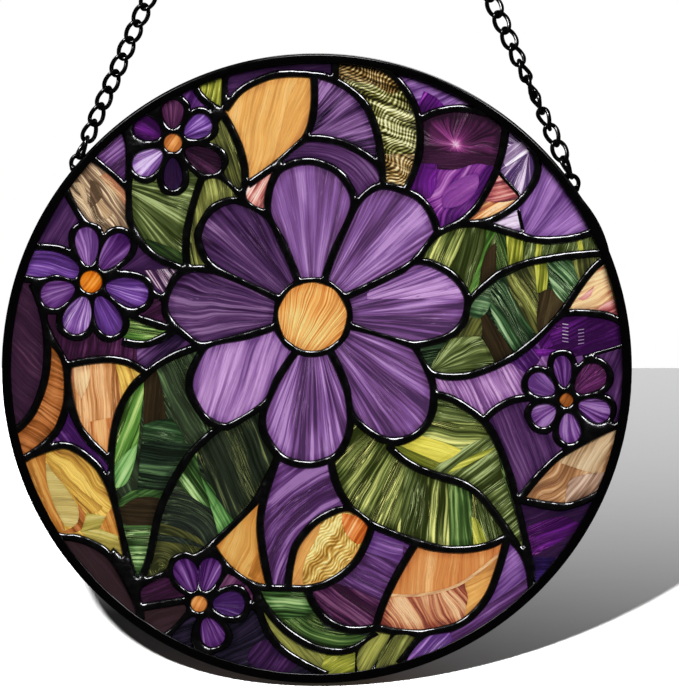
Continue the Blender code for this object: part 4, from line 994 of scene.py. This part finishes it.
def lead_side(rim, openings, grid, rows, seed):
    """Triangles of the lead's face in between its openings, with the rise of its beads."""
    shapes = [rim, *openings]
    loose = [grown(loop, row) for loop in openings for row in rows]
    cells = hex_grid(rim.min(0), rim.max(0), grid, seed)
    cells = cells[np.hypot(cells[:, 0], cells[:, 1]) < rim.max() - grid / 2]
    keep = np.ones(len(cells), bool)
    for loop in openings:
        wide = grown(loop, rows[-1] + grid * GRID_MARGIN)
        near = np.all((cells > wide.min(0)) & (cells < wide.max(0)), 1) & keep
        spots = np.flatnonzero(near)
        if len(spots):
            keep[spots[inside(cells[spots], wide)]] = False
    flat, tris, _ = triangles_of(np.concatenate([*shapes, *loose, cells[keep]]), numbered(shapes))
    middles = flat[tris].mean(1)
    solid = np.ones(len(tris), bool)
    for loop in openings:
        spots = np.flatnonzero(np.all((middles > loop.min(0)) & (middles < loop.max(0)), 1))
        solid[spots[inside(middles[spots], loop)]] = False
    tris = tris[solid]
    held = np.arange(len(flat)) < sum(len(shape) for shape in shapes)
    return flat, tris, film_rise(flat, tris, held)


def add_lead(rim, openings, material):
    """The leadwork: rounded beads on both faces, joined through by the walls of the openings."""
    front, front_tris, front_rise = lead_side(rim, openings, FRONT_GRID, LEAD_ROWS, 3)
    back, back_tris, back_rise = lead_side(rim, openings, BACK_GRID, LEAD_ROWS[1:], 4)
    sides, joints = [], []
    for flat, rise, facing, seed in ((front, front_rise, 1, 21), (back, back_rise, -1, 22)):
        height = LEAD_CROWN * np.tanh(LEAD_ROUNDING * rise / LEAD_CROWN)
        joint = np.clip((rise - JOINT_RISE) / JOINT_BLEND, 0, 1)
        crust = BEAD_WAVE * waves(flat, 3.2, seed) + JOINT_CRUST * joint * waves(flat, 1.3, seed + 5)
        height += np.clip(rise, 0, 1) * crust
        sides.append(np.column_stack([flat, facing * (LEAD_BASE + height)]))
        joints.append(joint)
    partner = {tuple(np.round(p, 4)): i for i, p in enumerate(back)}
    walls = []
    for a, b in boundary_edges(front_tris):
        c, d = (partner.get(tuple(np.round(front[i], 4))) for i in (a, b))
        if c is not None and d is not None:
            walls.append((b, a, c + len(front), d + len(front)))
    faces = [*front_tris.tolist(), *(back_tris[:, ::-1] + len(front)).tolist(), *walls]
    smooth = np.arange(len(faces)) < len(faces) - len(walls)
    piece = add_piece("lead_beads", np.concatenate(sides), faces, [material],
                      "blackened_lead", "lead_came", smooth)
    add_attribute(piece, "joint", np.concatenate(joints), "POINT")
    return piece


def streak_frame(points, direction, centres):
    """Distance along and across the streaks at each point."""
    if not isinstance(direction, tuple):
        angle = math.radians(direction)
        ahead = np.array([math.cos(angle), math.sin(angle)])
        aside = np.array([-math.sin(angle), math.cos(angle)])
        return points @ ahead, points @ aside
    kind, value = direction
    offset = points - np.array(centres[value] if isinstance(value, str) else value)
    reach = np.hypot(offset[:, 0], offset[:, 1])
    middle = unit(offset.mean(0)[None])[0]
    angle = np.arctan2(middle[0] * offset[:, 1] - middle[1] * offset[:, 0], offset @ middle)
    arc = angle * reach.mean()
    return (reach, arc) if kind == AWAY else (arc, reach)


def ripple_height(points, direction):
    """Fine wavy ridges across a rippled pane, from 0 in a valley to 1 on a ridge."""
    angle = math.radians(direction)
    across = points[:, 0] * math.cos(angle) + points[:, 1] * math.sin(angle)
    along = -points[:, 0] * math.sin(angle) + points[:, 1] * math.cos(angle)
    kinks = np.abs(((along / 3.4) % 1) - 0.5)
    bend = 0.9 * np.sin(along * 0.75) + 0.8 * waves(points, 7.0, 31) + 0.35 * kinks
    ridge = 0.5 + 0.5 * np.sin(2 * math.pi * (across + bend) / RIPPLE_PITCH)
    return ridge * (0.75 + 0.25 * waves(points, 2.5, 33))


def patch_outline(numbers):
    """The rounded outline of a patch, anticlockwise."""
    corners = np.reshape(numbers, (-1, 2)).astype(float)
    if signed_area(corners) < 0:
        corners = corners[::-1]
    return smooth_outline(corners, SMALL_CORNER_TURN, 2 * OUTLINE_STEP)


def add_pane(name, outline, style, materials, centres, seed):
    """One pane: a plate of uneven glass with its edge under the lead, and its patches."""
    loop = grown(outline, GLASS_UNDER_LEAD)
    patches = PATCHES.get(name, ())
    styles = [style] + [patch[:-1] for patch in patches]
    areas = [patch_outline(patch[-1]) for patch in patches]
    grid = RIPPLE_GRID if name in RIPPLED else GLASS_GRID
    cells = hex_grid(loop.min(0), loop.max(0), grid, seed)
    cells = cells[inside(cells, grown(loop, -0.5 * grid))]
    shapes = [loop] + areas
    flat, tris, holders = triangles_of(np.concatenate(shapes + [cells]), numbered(shapes))
    in_pane = inside(flat[tris].mean(1), loop)
    tri_style = np.array([max(h, default=0) for h in holders])[in_pane]
    used, tris = np.unique(tris[in_pane], return_inverse=True)
    flat, tris = flat[used], tris.reshape(-1, 3)
    count = len(flat)

    # Distance from the lead, which sets the painted shade near it. A patch's outline counts as PATCH_EDGE
    # away, so the glass darkens a little there too.
    edge = distance_to(flat, outline)
    for area in areas:
        edge = np.minimum(edge, PATCH_EDGE + PATCH_FADE * distance_to(flat, area))
    rise = RELIEF * waves(flat, 7.0, seed + 50) + 0.3 * RELIEF * waves(flat, 2.4, seed + 51)
    painted_light_and_shade = np.zeros(count)
    if name in RIPPLED:
        ridge = ripple_height(flat, RIPPLED[name])
        smooth_spots = np.unique(tris[np.array(["ripple" not in styles[k][0] for k in tri_style])])
        ridge[smooth_spots] = 0.5
        rise = rise + RIPPLE_HEIGHT * (ridge - 0.5)
        # Ridges painted lighter and valleys darker: painted light and shade on the ripples.
        painted_light_and_shade = RIPPLE_PAINTED_SHADING * (ridge - 0.5)
    # Painted glows and painted shades in the pane, from GLOWS.
    for middle, reach, strength in GLOWS.get(name, ()):
        painted_light_and_shade += strength * np.exp(-np.sum((flat - np.array(middle)) ** 2, 1) / reach ** 2)
    has_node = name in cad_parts
    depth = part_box(name)[1].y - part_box(name)[0].y if has_node else SMALL_PANE_DEPTH * MM
    half = depth / MM / 2 - RELIEF_ROOM
    sides = [np.column_stack([flat, half + rise]), np.column_stack([flat, -half - rise])]
    walls = np.array([(b, a, a + count, b + count) for a, b in boundary_edges(tris)])
    faces = [*tris.tolist(), *(tris[:, ::-1] + count).tolist(), *walls.tolist()]
    smooth = np.arange(len(faces)) < len(faces) - len(walls)
    glasses = sorted({item[0] for item in styles})
    slot = SLOTS.get(name) or SHEET_SLOTS.get(style[0], "glass_violet")
    piece = add_piece("glass_" + name, np.concatenate(sides), faces,
                      [materials[glass] for glass in glasses], slot, name if has_node else None, smooth)

    face_style = np.concatenate([tri_style, tri_style, np.zeros(len(walls), int)])
    piece.data.polygons.foreach_set("material_index", [glasses.index(styles[k][0]) for k in face_style])
    corners = np.concatenate([tris.ravel(), tris[:, ::-1].ravel(), walls.ravel() % count])
    corner_style = np.repeat(face_style, [3] * (2 * len(tri_style)) + [4] * len(walls))
    flow, finish_values = np.zeros((len(corners), 3)), np.zeros((len(corners), 3))
    for index, (_, direction, *numbers) in enumerate(styles):
        here = corner_style == index
        if here.any():
            along, across = streak_frame(flat[corners[here]], direction, centres)
            flow[here] = np.stack([along, across, np.full(here.sum(), seed * 3.7 + index * 1.9)], 1)
            finish_values[here] = numbers
    add_attribute(piece, "flow", flow)
    add_attribute(piece, "finish", finish_values)
    add_attribute(piece, "edge", np.tile(edge, 2), "POINT")
    add_attribute(piece, "painted_light_and_shade", np.tile(painted_light_and_shade, 2), "POINT")
    return piece


# Hoop, loops and chains

def tube(line, radii, closed, sides=WIRE_SIDES):
    """Points and faces of a round wire along a line of panel points."""
    line = np.asarray(line, float)
    count = len(line)
    ahead = np.roll(line, -1, 0) - np.roll(line, 1, 0)
    if not closed:
        ahead[0], ahead[-1] = line[1] - line[0], line[-1] - line[-2]
    ahead = unit(ahead)
    side = np.cross(ahead[0], (0.0, 0.0, 1.0))
    side = unit(side if np.linalg.norm(side) > 0.1 else np.cross(ahead[0], (0.0, 1.0, 0.0)))
    frames = []
    for direction in ahead:
        side = unit(side - direction * np.dot(side, direction))
        frames.append(side)
    frames = np.array(frames)
    if closed:
        last = unit(frames[-1] - ahead[0] * np.dot(frames[-1], ahead[0]))
        twist = math.atan2(np.dot(np.cross(last, frames[0]), ahead[0]), np.dot(last, frames[0]))
    else:
        twist = 0.0
    spin = np.arange(count) / count * twist
    angle = even_turns(sides)[None, :] + spin[:, None]
    other = np.cross(ahead, frames)
    radii = np.broadcast_to(radii, (count,))
    ring = (np.cos(angle)[..., None] * frames[:, None] + np.sin(angle)[..., None] * other[:, None])
    points = (line[:, None] + ring * radii[:, None, None]).reshape(-1, 3)
    faces = []
    for i in range(count if closed else count - 1):
        a, b = i * sides, (i + 1) % count * sides
        faces += [(a + k, a + (k + 1) % sides, b + (k + 1) % sides, b + k) for k in range(sides)]
    if not closed:
        faces.append(tuple(range(sides))[::-1])
        faces.append(tuple(range((count - 1) * sides, count * sides)))
    return points, faces


def joined(parts):
    """Several meshes as one list of points and one of faces."""
    points, faces, count = [], [], 0
    for part_points, part_faces in parts:
        points.append(part_points)
        faces += [tuple(i + count for i in face) for face in part_faces]
        count += len(part_points)
    return np.concatenate(points), faces


def link_line(centre, pull, length, roll, twist):
    """Centre-line of a curb link: an oval with its two ends turned opposite ways."""
    side = np.array([-pull[1], pull[0], 0.0])
    front = np.array([0.0, 0.0, 1.0])
    turn = even_turns(LINK_POINTS)
    cosine, sine = np.cos(turn), np.sin(turn)
    lengthwise = length / 2 * np.sign(cosine) * np.abs(cosine) ** LINK_SQUARENESS
    crosswise = (LINK_WIDTH - WIRE) / 2 * np.sign(sine) * np.abs(sine) ** LINK_SQUARENESS
    angle = roll + twist * cosine
    offset = side * np.cos(angle)[:, None] + front * np.sin(angle)[:, None]
    return centre + pull * lengthwise[:, None] + offset * crosswise[:, None]


def add_strand(side, full_turn, material):
    """A chain strand of separate twisted links, where the CAD strand lies."""
    points = node_points("chain_" + side)
    middle = points.mean(0)
    pull = np.linalg.svd(points - middle, full_matrices=False)[2][0]
    pull = unit(np.array([pull[0], pull[1], 0.0]) * np.sign(pull[1]))
    reach = (points - middle) @ pull
    count = round((reach.max() - reach.min() - 2 * WIRE) / LINK_PITCH)
    pitch = (reach.max() - reach.min() - 2 * WIRE) / count
    length = pitch + WIRE
    parts = []
    for index in range(count):
        centre = middle + pull * (reach.min() + WIRE / 2 + length / 2 + index * pitch)
        centre[2] = 0.0
        roll = full_turn * min(1.0, max(0.0, (TURNING_LINKS + 0.5 - index) / TURNING_LINKS))
        twist = LINK_TWIST
        if index in (0, count - 1):
            roll = (roll if index == 0 else 0.0) + (1 if index == 0 else -1) * (math.pi - LINK_TWIST) / 2
            twist = -LINK_TWIST / 2
        parts.append(tube(link_line(centre, pull, length, roll, twist), WIRE / 2, closed=True))
    return add_piece("links_" + side, *joined(parts), [material], "black_chain", "chain_" + side)


def add_ring(material):
    """The hanging ring, with the small soldered gap where it was closed."""
    points = node_points("hanging_ring")
    low, high = points.min(0), points.max(0)
    centre = (low + high) / 2
    wire_radius = (high[2] - low[2]) / 2
    reach = (high[0] - low[0]) / 2 - wire_radius
    turn = even_turns(RING_POINTS)
    line = centre + reach * np.stack([np.cos(turn), np.sin(turn), 0 * turn], 1)
    away = np.abs((turn - math.pi * 0.25 + math.pi) % (2 * math.pi) - math.pi)
    radii = wire_radius * (1 + 0.12 * np.exp(-(away / 0.16) ** 2) - 0.25 * np.exp(-(away / 0.025) ** 2))
    wire = tube(line, radii, True, RING_SIDES)
    return add_piece("hanging_ring_wire", *wire, [material], "black_chain", "hanging_ring")


def add_rim_loop(side, material):
    """The wire loop that a strand hooks into, with solder at its two feet."""
    points = node_points("rim_loop_" + side)
    middle = points.mean(0)
    outward = unit(np.array([middle[0], middle[1], 0.0]))
    along = np.array([-outward[1], outward[0], 0.0])
    spread = points @ along
    reach = points @ outward
    half = (spread.max() - spread.min()) / 2 - WIRE / 2
    rise = reach.max() - WIRE / 2 - reach.min()
    turn = np.linspace(0, math.pi, LOOP_POINTS)
    centre = outward * reach.min() + along * (spread.max() + spread.min()) / 2
    line = centre + along * half * np.cos(turn)[:, None] + outward * rise * np.sin(turn)[:, None]
    foot = np.minimum(turn, math.pi - turn)
    radii = WIRE / 2 * (1 + 0.75 * np.exp(-(foot / 0.3) ** 2))
    wire = tube(line, radii, False, LOOP_SIDES)
    return add_piece("loop_wire_" + side, *wire, [material], "black_enamel", "rim_loop_" + side)


def add_hoop(material):
    """The hoop: a bent channel with a bevelled outer edge, a rougher inner lip and its seam."""
    points = node_points("frame_ring")
    reach = np.hypot(points[:, 0], points[:, 1])
    outer = reach.max()
    face = points[:, 2].max()
    sight = reach[points[:, 2] > face - SAME_HEIGHT].min()
    front = [
        (sight + 0.12, face - HOOP_LIP), (sight, face - HOOP_LIP + 0.12), (sight, face - 0.22),
        (sight + 0.1, face - 0.06), (sight + 0.3, face), (outer - 0.85, face), (outer - 0.62, face - 0.07),
        (outer - 0.28, face - 0.4), (outer - 0.08, face - 0.66), (outer, face - 0.95),
    ]
    back = [(radius, -height) for radius, height in front[::-1]]
    web = [(outer - HOOP_WEB, HOOP_LIP - face), (outer - HOOP_WEB, face - HOOP_LIP)]
    profile = front + back + web
    turn = even_turns(HOOP_STEPS)
    after_seam = np.degrees((turn - SEAM_TURN) % (2 * math.pi))
    bulge = SEAM_BULGE * np.clip(np.sin(np.clip(after_seam / SEAM_SPAN, 0, 1) * math.pi), 0, 1)
    gap = np.exp(-(np.minimum(after_seam, 360 - after_seam) / SEAM_GAP) ** 2)
    ragged = waves(np.stack([turn * SIGHT_RADIUS, 0 * turn], 1), 4.5, 71)
    points = []
    for step in range(HOOP_STEPS):
        for radius, height in profile:
            rim_part = radius > outer - OUTER_EDGE
            radius = radius + (LIP_RAGGED * ragged[step] if radius < sight + 0.2 else bulge[step] * rim_part)
            radius -= SEAM_DEPTH * gap[step] * (radius > outer - OUTER_EDGE)
            height = height * (1 - SEAM_DIP * gap[step])
            points.append((radius * math.cos(turn[step]), radius * math.sin(turn[step]), height))
    size = len(profile)
    faces = []
    for step in range(HOOP_STEPS):
        a, b = step * size, (step + 1) % HOOP_STEPS * size
        faces += [(a + (k + 1) % size, b + (k + 1) % size, b + k, a + k) for k in range(size)]
    return add_piece("hoop_channel", np.array(points), faces, [material], "black_enamel", "frame_ring")


# Stage

def collection_of(name, objects):
    """A collection that only says which objects a light reaches."""
    collection = bpy.data.collections.new(name)
    for item in objects:
        collection.objects.link(item)
    return collection


def add_light(name, kind, energy, place, target, size, receivers, glossy=True):
    """A studio light that looks at a target, for some objects only."""
    data = bpy.data.lights.new(name, kind)
    data.energy = energy
    if kind == "AREA":
        data.shape = "RECTANGLE"
        data.size, data.size_y = size
    else:
        data.shadow_soft_size = size
    item = bpy.data.objects.new(name, data)
    bpy.context.scene.collection.objects.link(item)
    item.location = place
    item.rotation_euler = (Vector(target) - Vector(place)).to_track_quat("-Z", "Y").to_euler()
    item.visible_camera = False
    item.visible_glossy = glossy
    item.light_linking.receiver_collection = receivers
    return item


def even_light(data, strength, near=None, half=None):
    """Light a floor evenly from low in front, or only behind a near distance and more further on."""
    data.use_nodes = True
    tree = data.node_tree
    reach = output_of(tree, "ShaderNodeLightPath", "Ray Length")
    power = reach * strength
    if near is not None:
        beyond = math_node("MAXIMUM", reach - near, 0.0)
        power = power * math_node("DIVIDE", beyond, beyond + half)
    falloff = node_of(tree, "ShaderNodeLightFalloff", power)
    put(tree.nodes["Emission"].inputs["Strength"], Signal(falloff.outputs["Constant"]))


def add_floor(height):
    """A pale floor that the pieces do not mirror."""
    mesh = bpy.data.meshes.new("floor")
    corners = [(x, y, height) for x, y in ((-FLOOR_REACH, FLOOR_FRONT), (FLOOR_REACH, FLOOR_FRONT),
                                           (FLOOR_REACH, FLOOR_REACH), (-FLOOR_REACH, FLOOR_REACH))]
    mesh.from_pydata(corners, [], [(0, 1, 2, 3)])
    floor = bpy.data.objects.new("floor", mesh)
    bpy.context.scene.collection.objects.link(floor)
    material, tree, inputs = new_material("floor_paint", 0.9, 0.0)
    grey = noise_node(tree, output_of(tree, "ShaderNodeTexCoord", "Object"), 30.0, 2.0)
    put(inputs["Base Color"], mix_node(tree, grey, (0.49, 0.49, 0.49, 1), (0.51, 0.51, 0.51, 1)))
    mesh.materials.append(material)
    floor.visible_glossy = False
    floor.visible_diffuse = False
    floor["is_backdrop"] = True
    return floor


def add_world():
    """White to the camera, and faint in reflections and in soft light."""
    world = bpy.data.worlds.new("studio")
    bpy.context.scene.world = world
    world.use_nodes = True
    tree = world.node_tree
    inputs = tree.nodes["Background"].inputs
    put(inputs["Color"], (1.0, 1.0, 1.0, 1.0))
    soft, camera, glossy = (output_of(tree, "ShaderNodeLightPath", f"Is {kind} Ray")
                            for kind in ("Diffuse", "Camera", "Glossy"))
    put(inputs["Strength"], soft * 0.025 + camera + glossy * 0.035)


def add_stage(leadwork, chains, glass):
    """Floor, world, lights and the camera."""
    floor_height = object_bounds()[0].z - FLOOR_GAP
    floor = add_floor(floor_height)
    add_world()
    floor_only = collection_of("floor_only", [floor])
    leadwork_only = collection_of("leadwork_only", leadwork)
    chains_only = collection_of("chains_only", chains)
    glass_only = collection_of("glass_only", glass)
    disc = Vector(CENTRE)

    spot = Vector((disc.x - 0.052, disc.y - 1.0, floor_height + 0.1663))
    key = add_light("floor_key", "POINT", 1.0, spot, disc, 0.006, floor_only)
    even_light(key.data, FLOOR_KEY)
    spot = Vector((disc.x - 0.9, disc.y - 0.1, floor_height + 0.17))
    fill = add_light("floor_fill", "POINT", 1.0, spot, disc, 0.01, floor_only)
    fill.data.use_shadow = False
    even_light(fill.data, FLOOR_FILL, near=0.94, half=0.45)

    def area_light(name, energy, offset, size, receivers, glossy=True, aim=(0.0, 0.0, 0.0)):
        """A soft light at an offset from the disc's centre, aimed at it or a little beside it."""
        add_light(name, "AREA", energy, disc + Vector(offset), disc + Vector(aim), size, receivers, glossy)

    area_light("glass_key", 48.0, (0.5, -1.6, 0.9), (1.6, 1.2), glass_only, False)
    area_light("glass_glint", 2.0, (0.2, -0.35, 1.1), (1.2, 0.35), glass_only)
    for index, (angle, energy) in enumerate(((52, 9.0), (88, 10.0), (124, 5.6))):
        across, up = math.cos(math.radians(angle)), math.sin(math.radians(angle))
        offset = (across * RIM_LIGHT_REACH, -0.72, up * RIM_LIGHT_REACH)
        area_light(f"rim_light_{index}", energy, offset, (0.36, 0.3), leadwork_only)
    area_light("back_fill", 40.0, (-0.4, 1.6, 0.9), (1.6, 1.2), glass_only, False)
    area_light("back_rim", 14.0, (0.3, 0.5, 1.1), (1.0, 0.4), leadwork_only)
    area_light("chain_glint", 9.0, (-0.5, -0.5, 0.55), (0.12, 0.12), chains_only, aim=(0.0, 0.0, 0.1))

    camera = bpy.data.objects.new("camera", bpy.data.cameras.new("camera"))
    bpy.context.scene.collection.objects.link(camera)
    bpy.context.scene.camera = camera
    camera.data.sensor_width = SENSOR
    camera.data.lens = SENSOR * CAMERA_DISTANCE / CAMERA_VIEW
    camera.location = (disc.x + CAMERA_ASIDE, -CAMERA_DISTANCE, disc.z + CAMERA_UP)
    camera.rotation_euler = (math.pi / 2, 0.0, 0.0)
    bpy.context.scene.view_settings.view_transform = "Standard"


# The imported model's slot of each CAD node, and the slot of each sheet in the panes that have no node.
SLOTS = {name: item.data.materials[0].name for name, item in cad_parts.items()
         if item.data.materials and item.data.materials[0]}
SHEETS_OF_SLOT = {
    "glass_amber": "orange orange_soft orange_dark",
    "glass_leaf_green": "leaf_bright",
    "glass_yellow_green": "lime strip_green",
    "glass_dark_green": "olive",
    "glass_coral": "salmon",
    "glass_lilac": "lilac_shard",
    "glass_plum": "night plum",
    "glass_maroon": "plum_red magenta magenta_dark",
}
SHEET_SLOTS = {sheet: slot for slot, sheets in SHEETS_OF_SLOT.items() for sheet in sheets.split()}


def main():
    """Build every piece."""
    outlines = front_outlines("lead_came")
    rim_radius = np.hypot(outlines[0][:, 0], outlines[0][:, 1]).max()
    turn = even_turns(RIM_POINTS)
    rim = rim_radius * np.stack([np.cos(turn), np.sin(turn)], 1)
    openings = {}
    for loop in outlines[1:]:
        small = signed_area(loop) < SMALL_OPENING
        shape = smooth_outline(loop, SMALL_CORNER_TURN if small else CORNER_TURN, OUTLINE_STEP)
        name = None
        for node in PANES:
            if node not in openings and inside(node_points(node)[:, :2], loop).mean() > 0.8:
                name = node
        for node, (spot, _) in SMALL_PANES.items():
            if inside(np.array([spot]), loop)[0]:
                name = name or node
        openings[name or f"shard_{len(openings)}"] = shape
    centres = {name: loop.mean(0) for name, loop in openings.items()}
    materials = {name: glass_material(name) for name in GLASS}

    lead = add_lead(rim, list(openings.values()), lead_material())
    glass = []
    for index, (name, loop) in enumerate(sorted(openings.items())):
        style = PANES.get(name) or (SMALL_PANES[name][1] if name in SMALL_PANES else OTHER_PANE)
        glass.append(add_pane(name, loop, style, materials, centres, index + 1))
    enamel = metal_material("black_enamel_coat", (0.0003, 0.0003, 0.0003), 0.16, 0.006, 0.0, 0.3)
    steel = metal_material("black_steel_wire", (0.0006, 0.0006, 0.0006), 0.16, 0.03, 0.0, 0.5)
    chains = [add_ring(steel)]
    for side, full_turn in (("left", math.radians(40.0)), ("right", math.radians(180.0))):
        chains += [add_rim_loop(side, enamel), add_strand(side, full_turn, steel)]
    add_stage([lead, add_hoop(enamel)], chains, glass)


main()
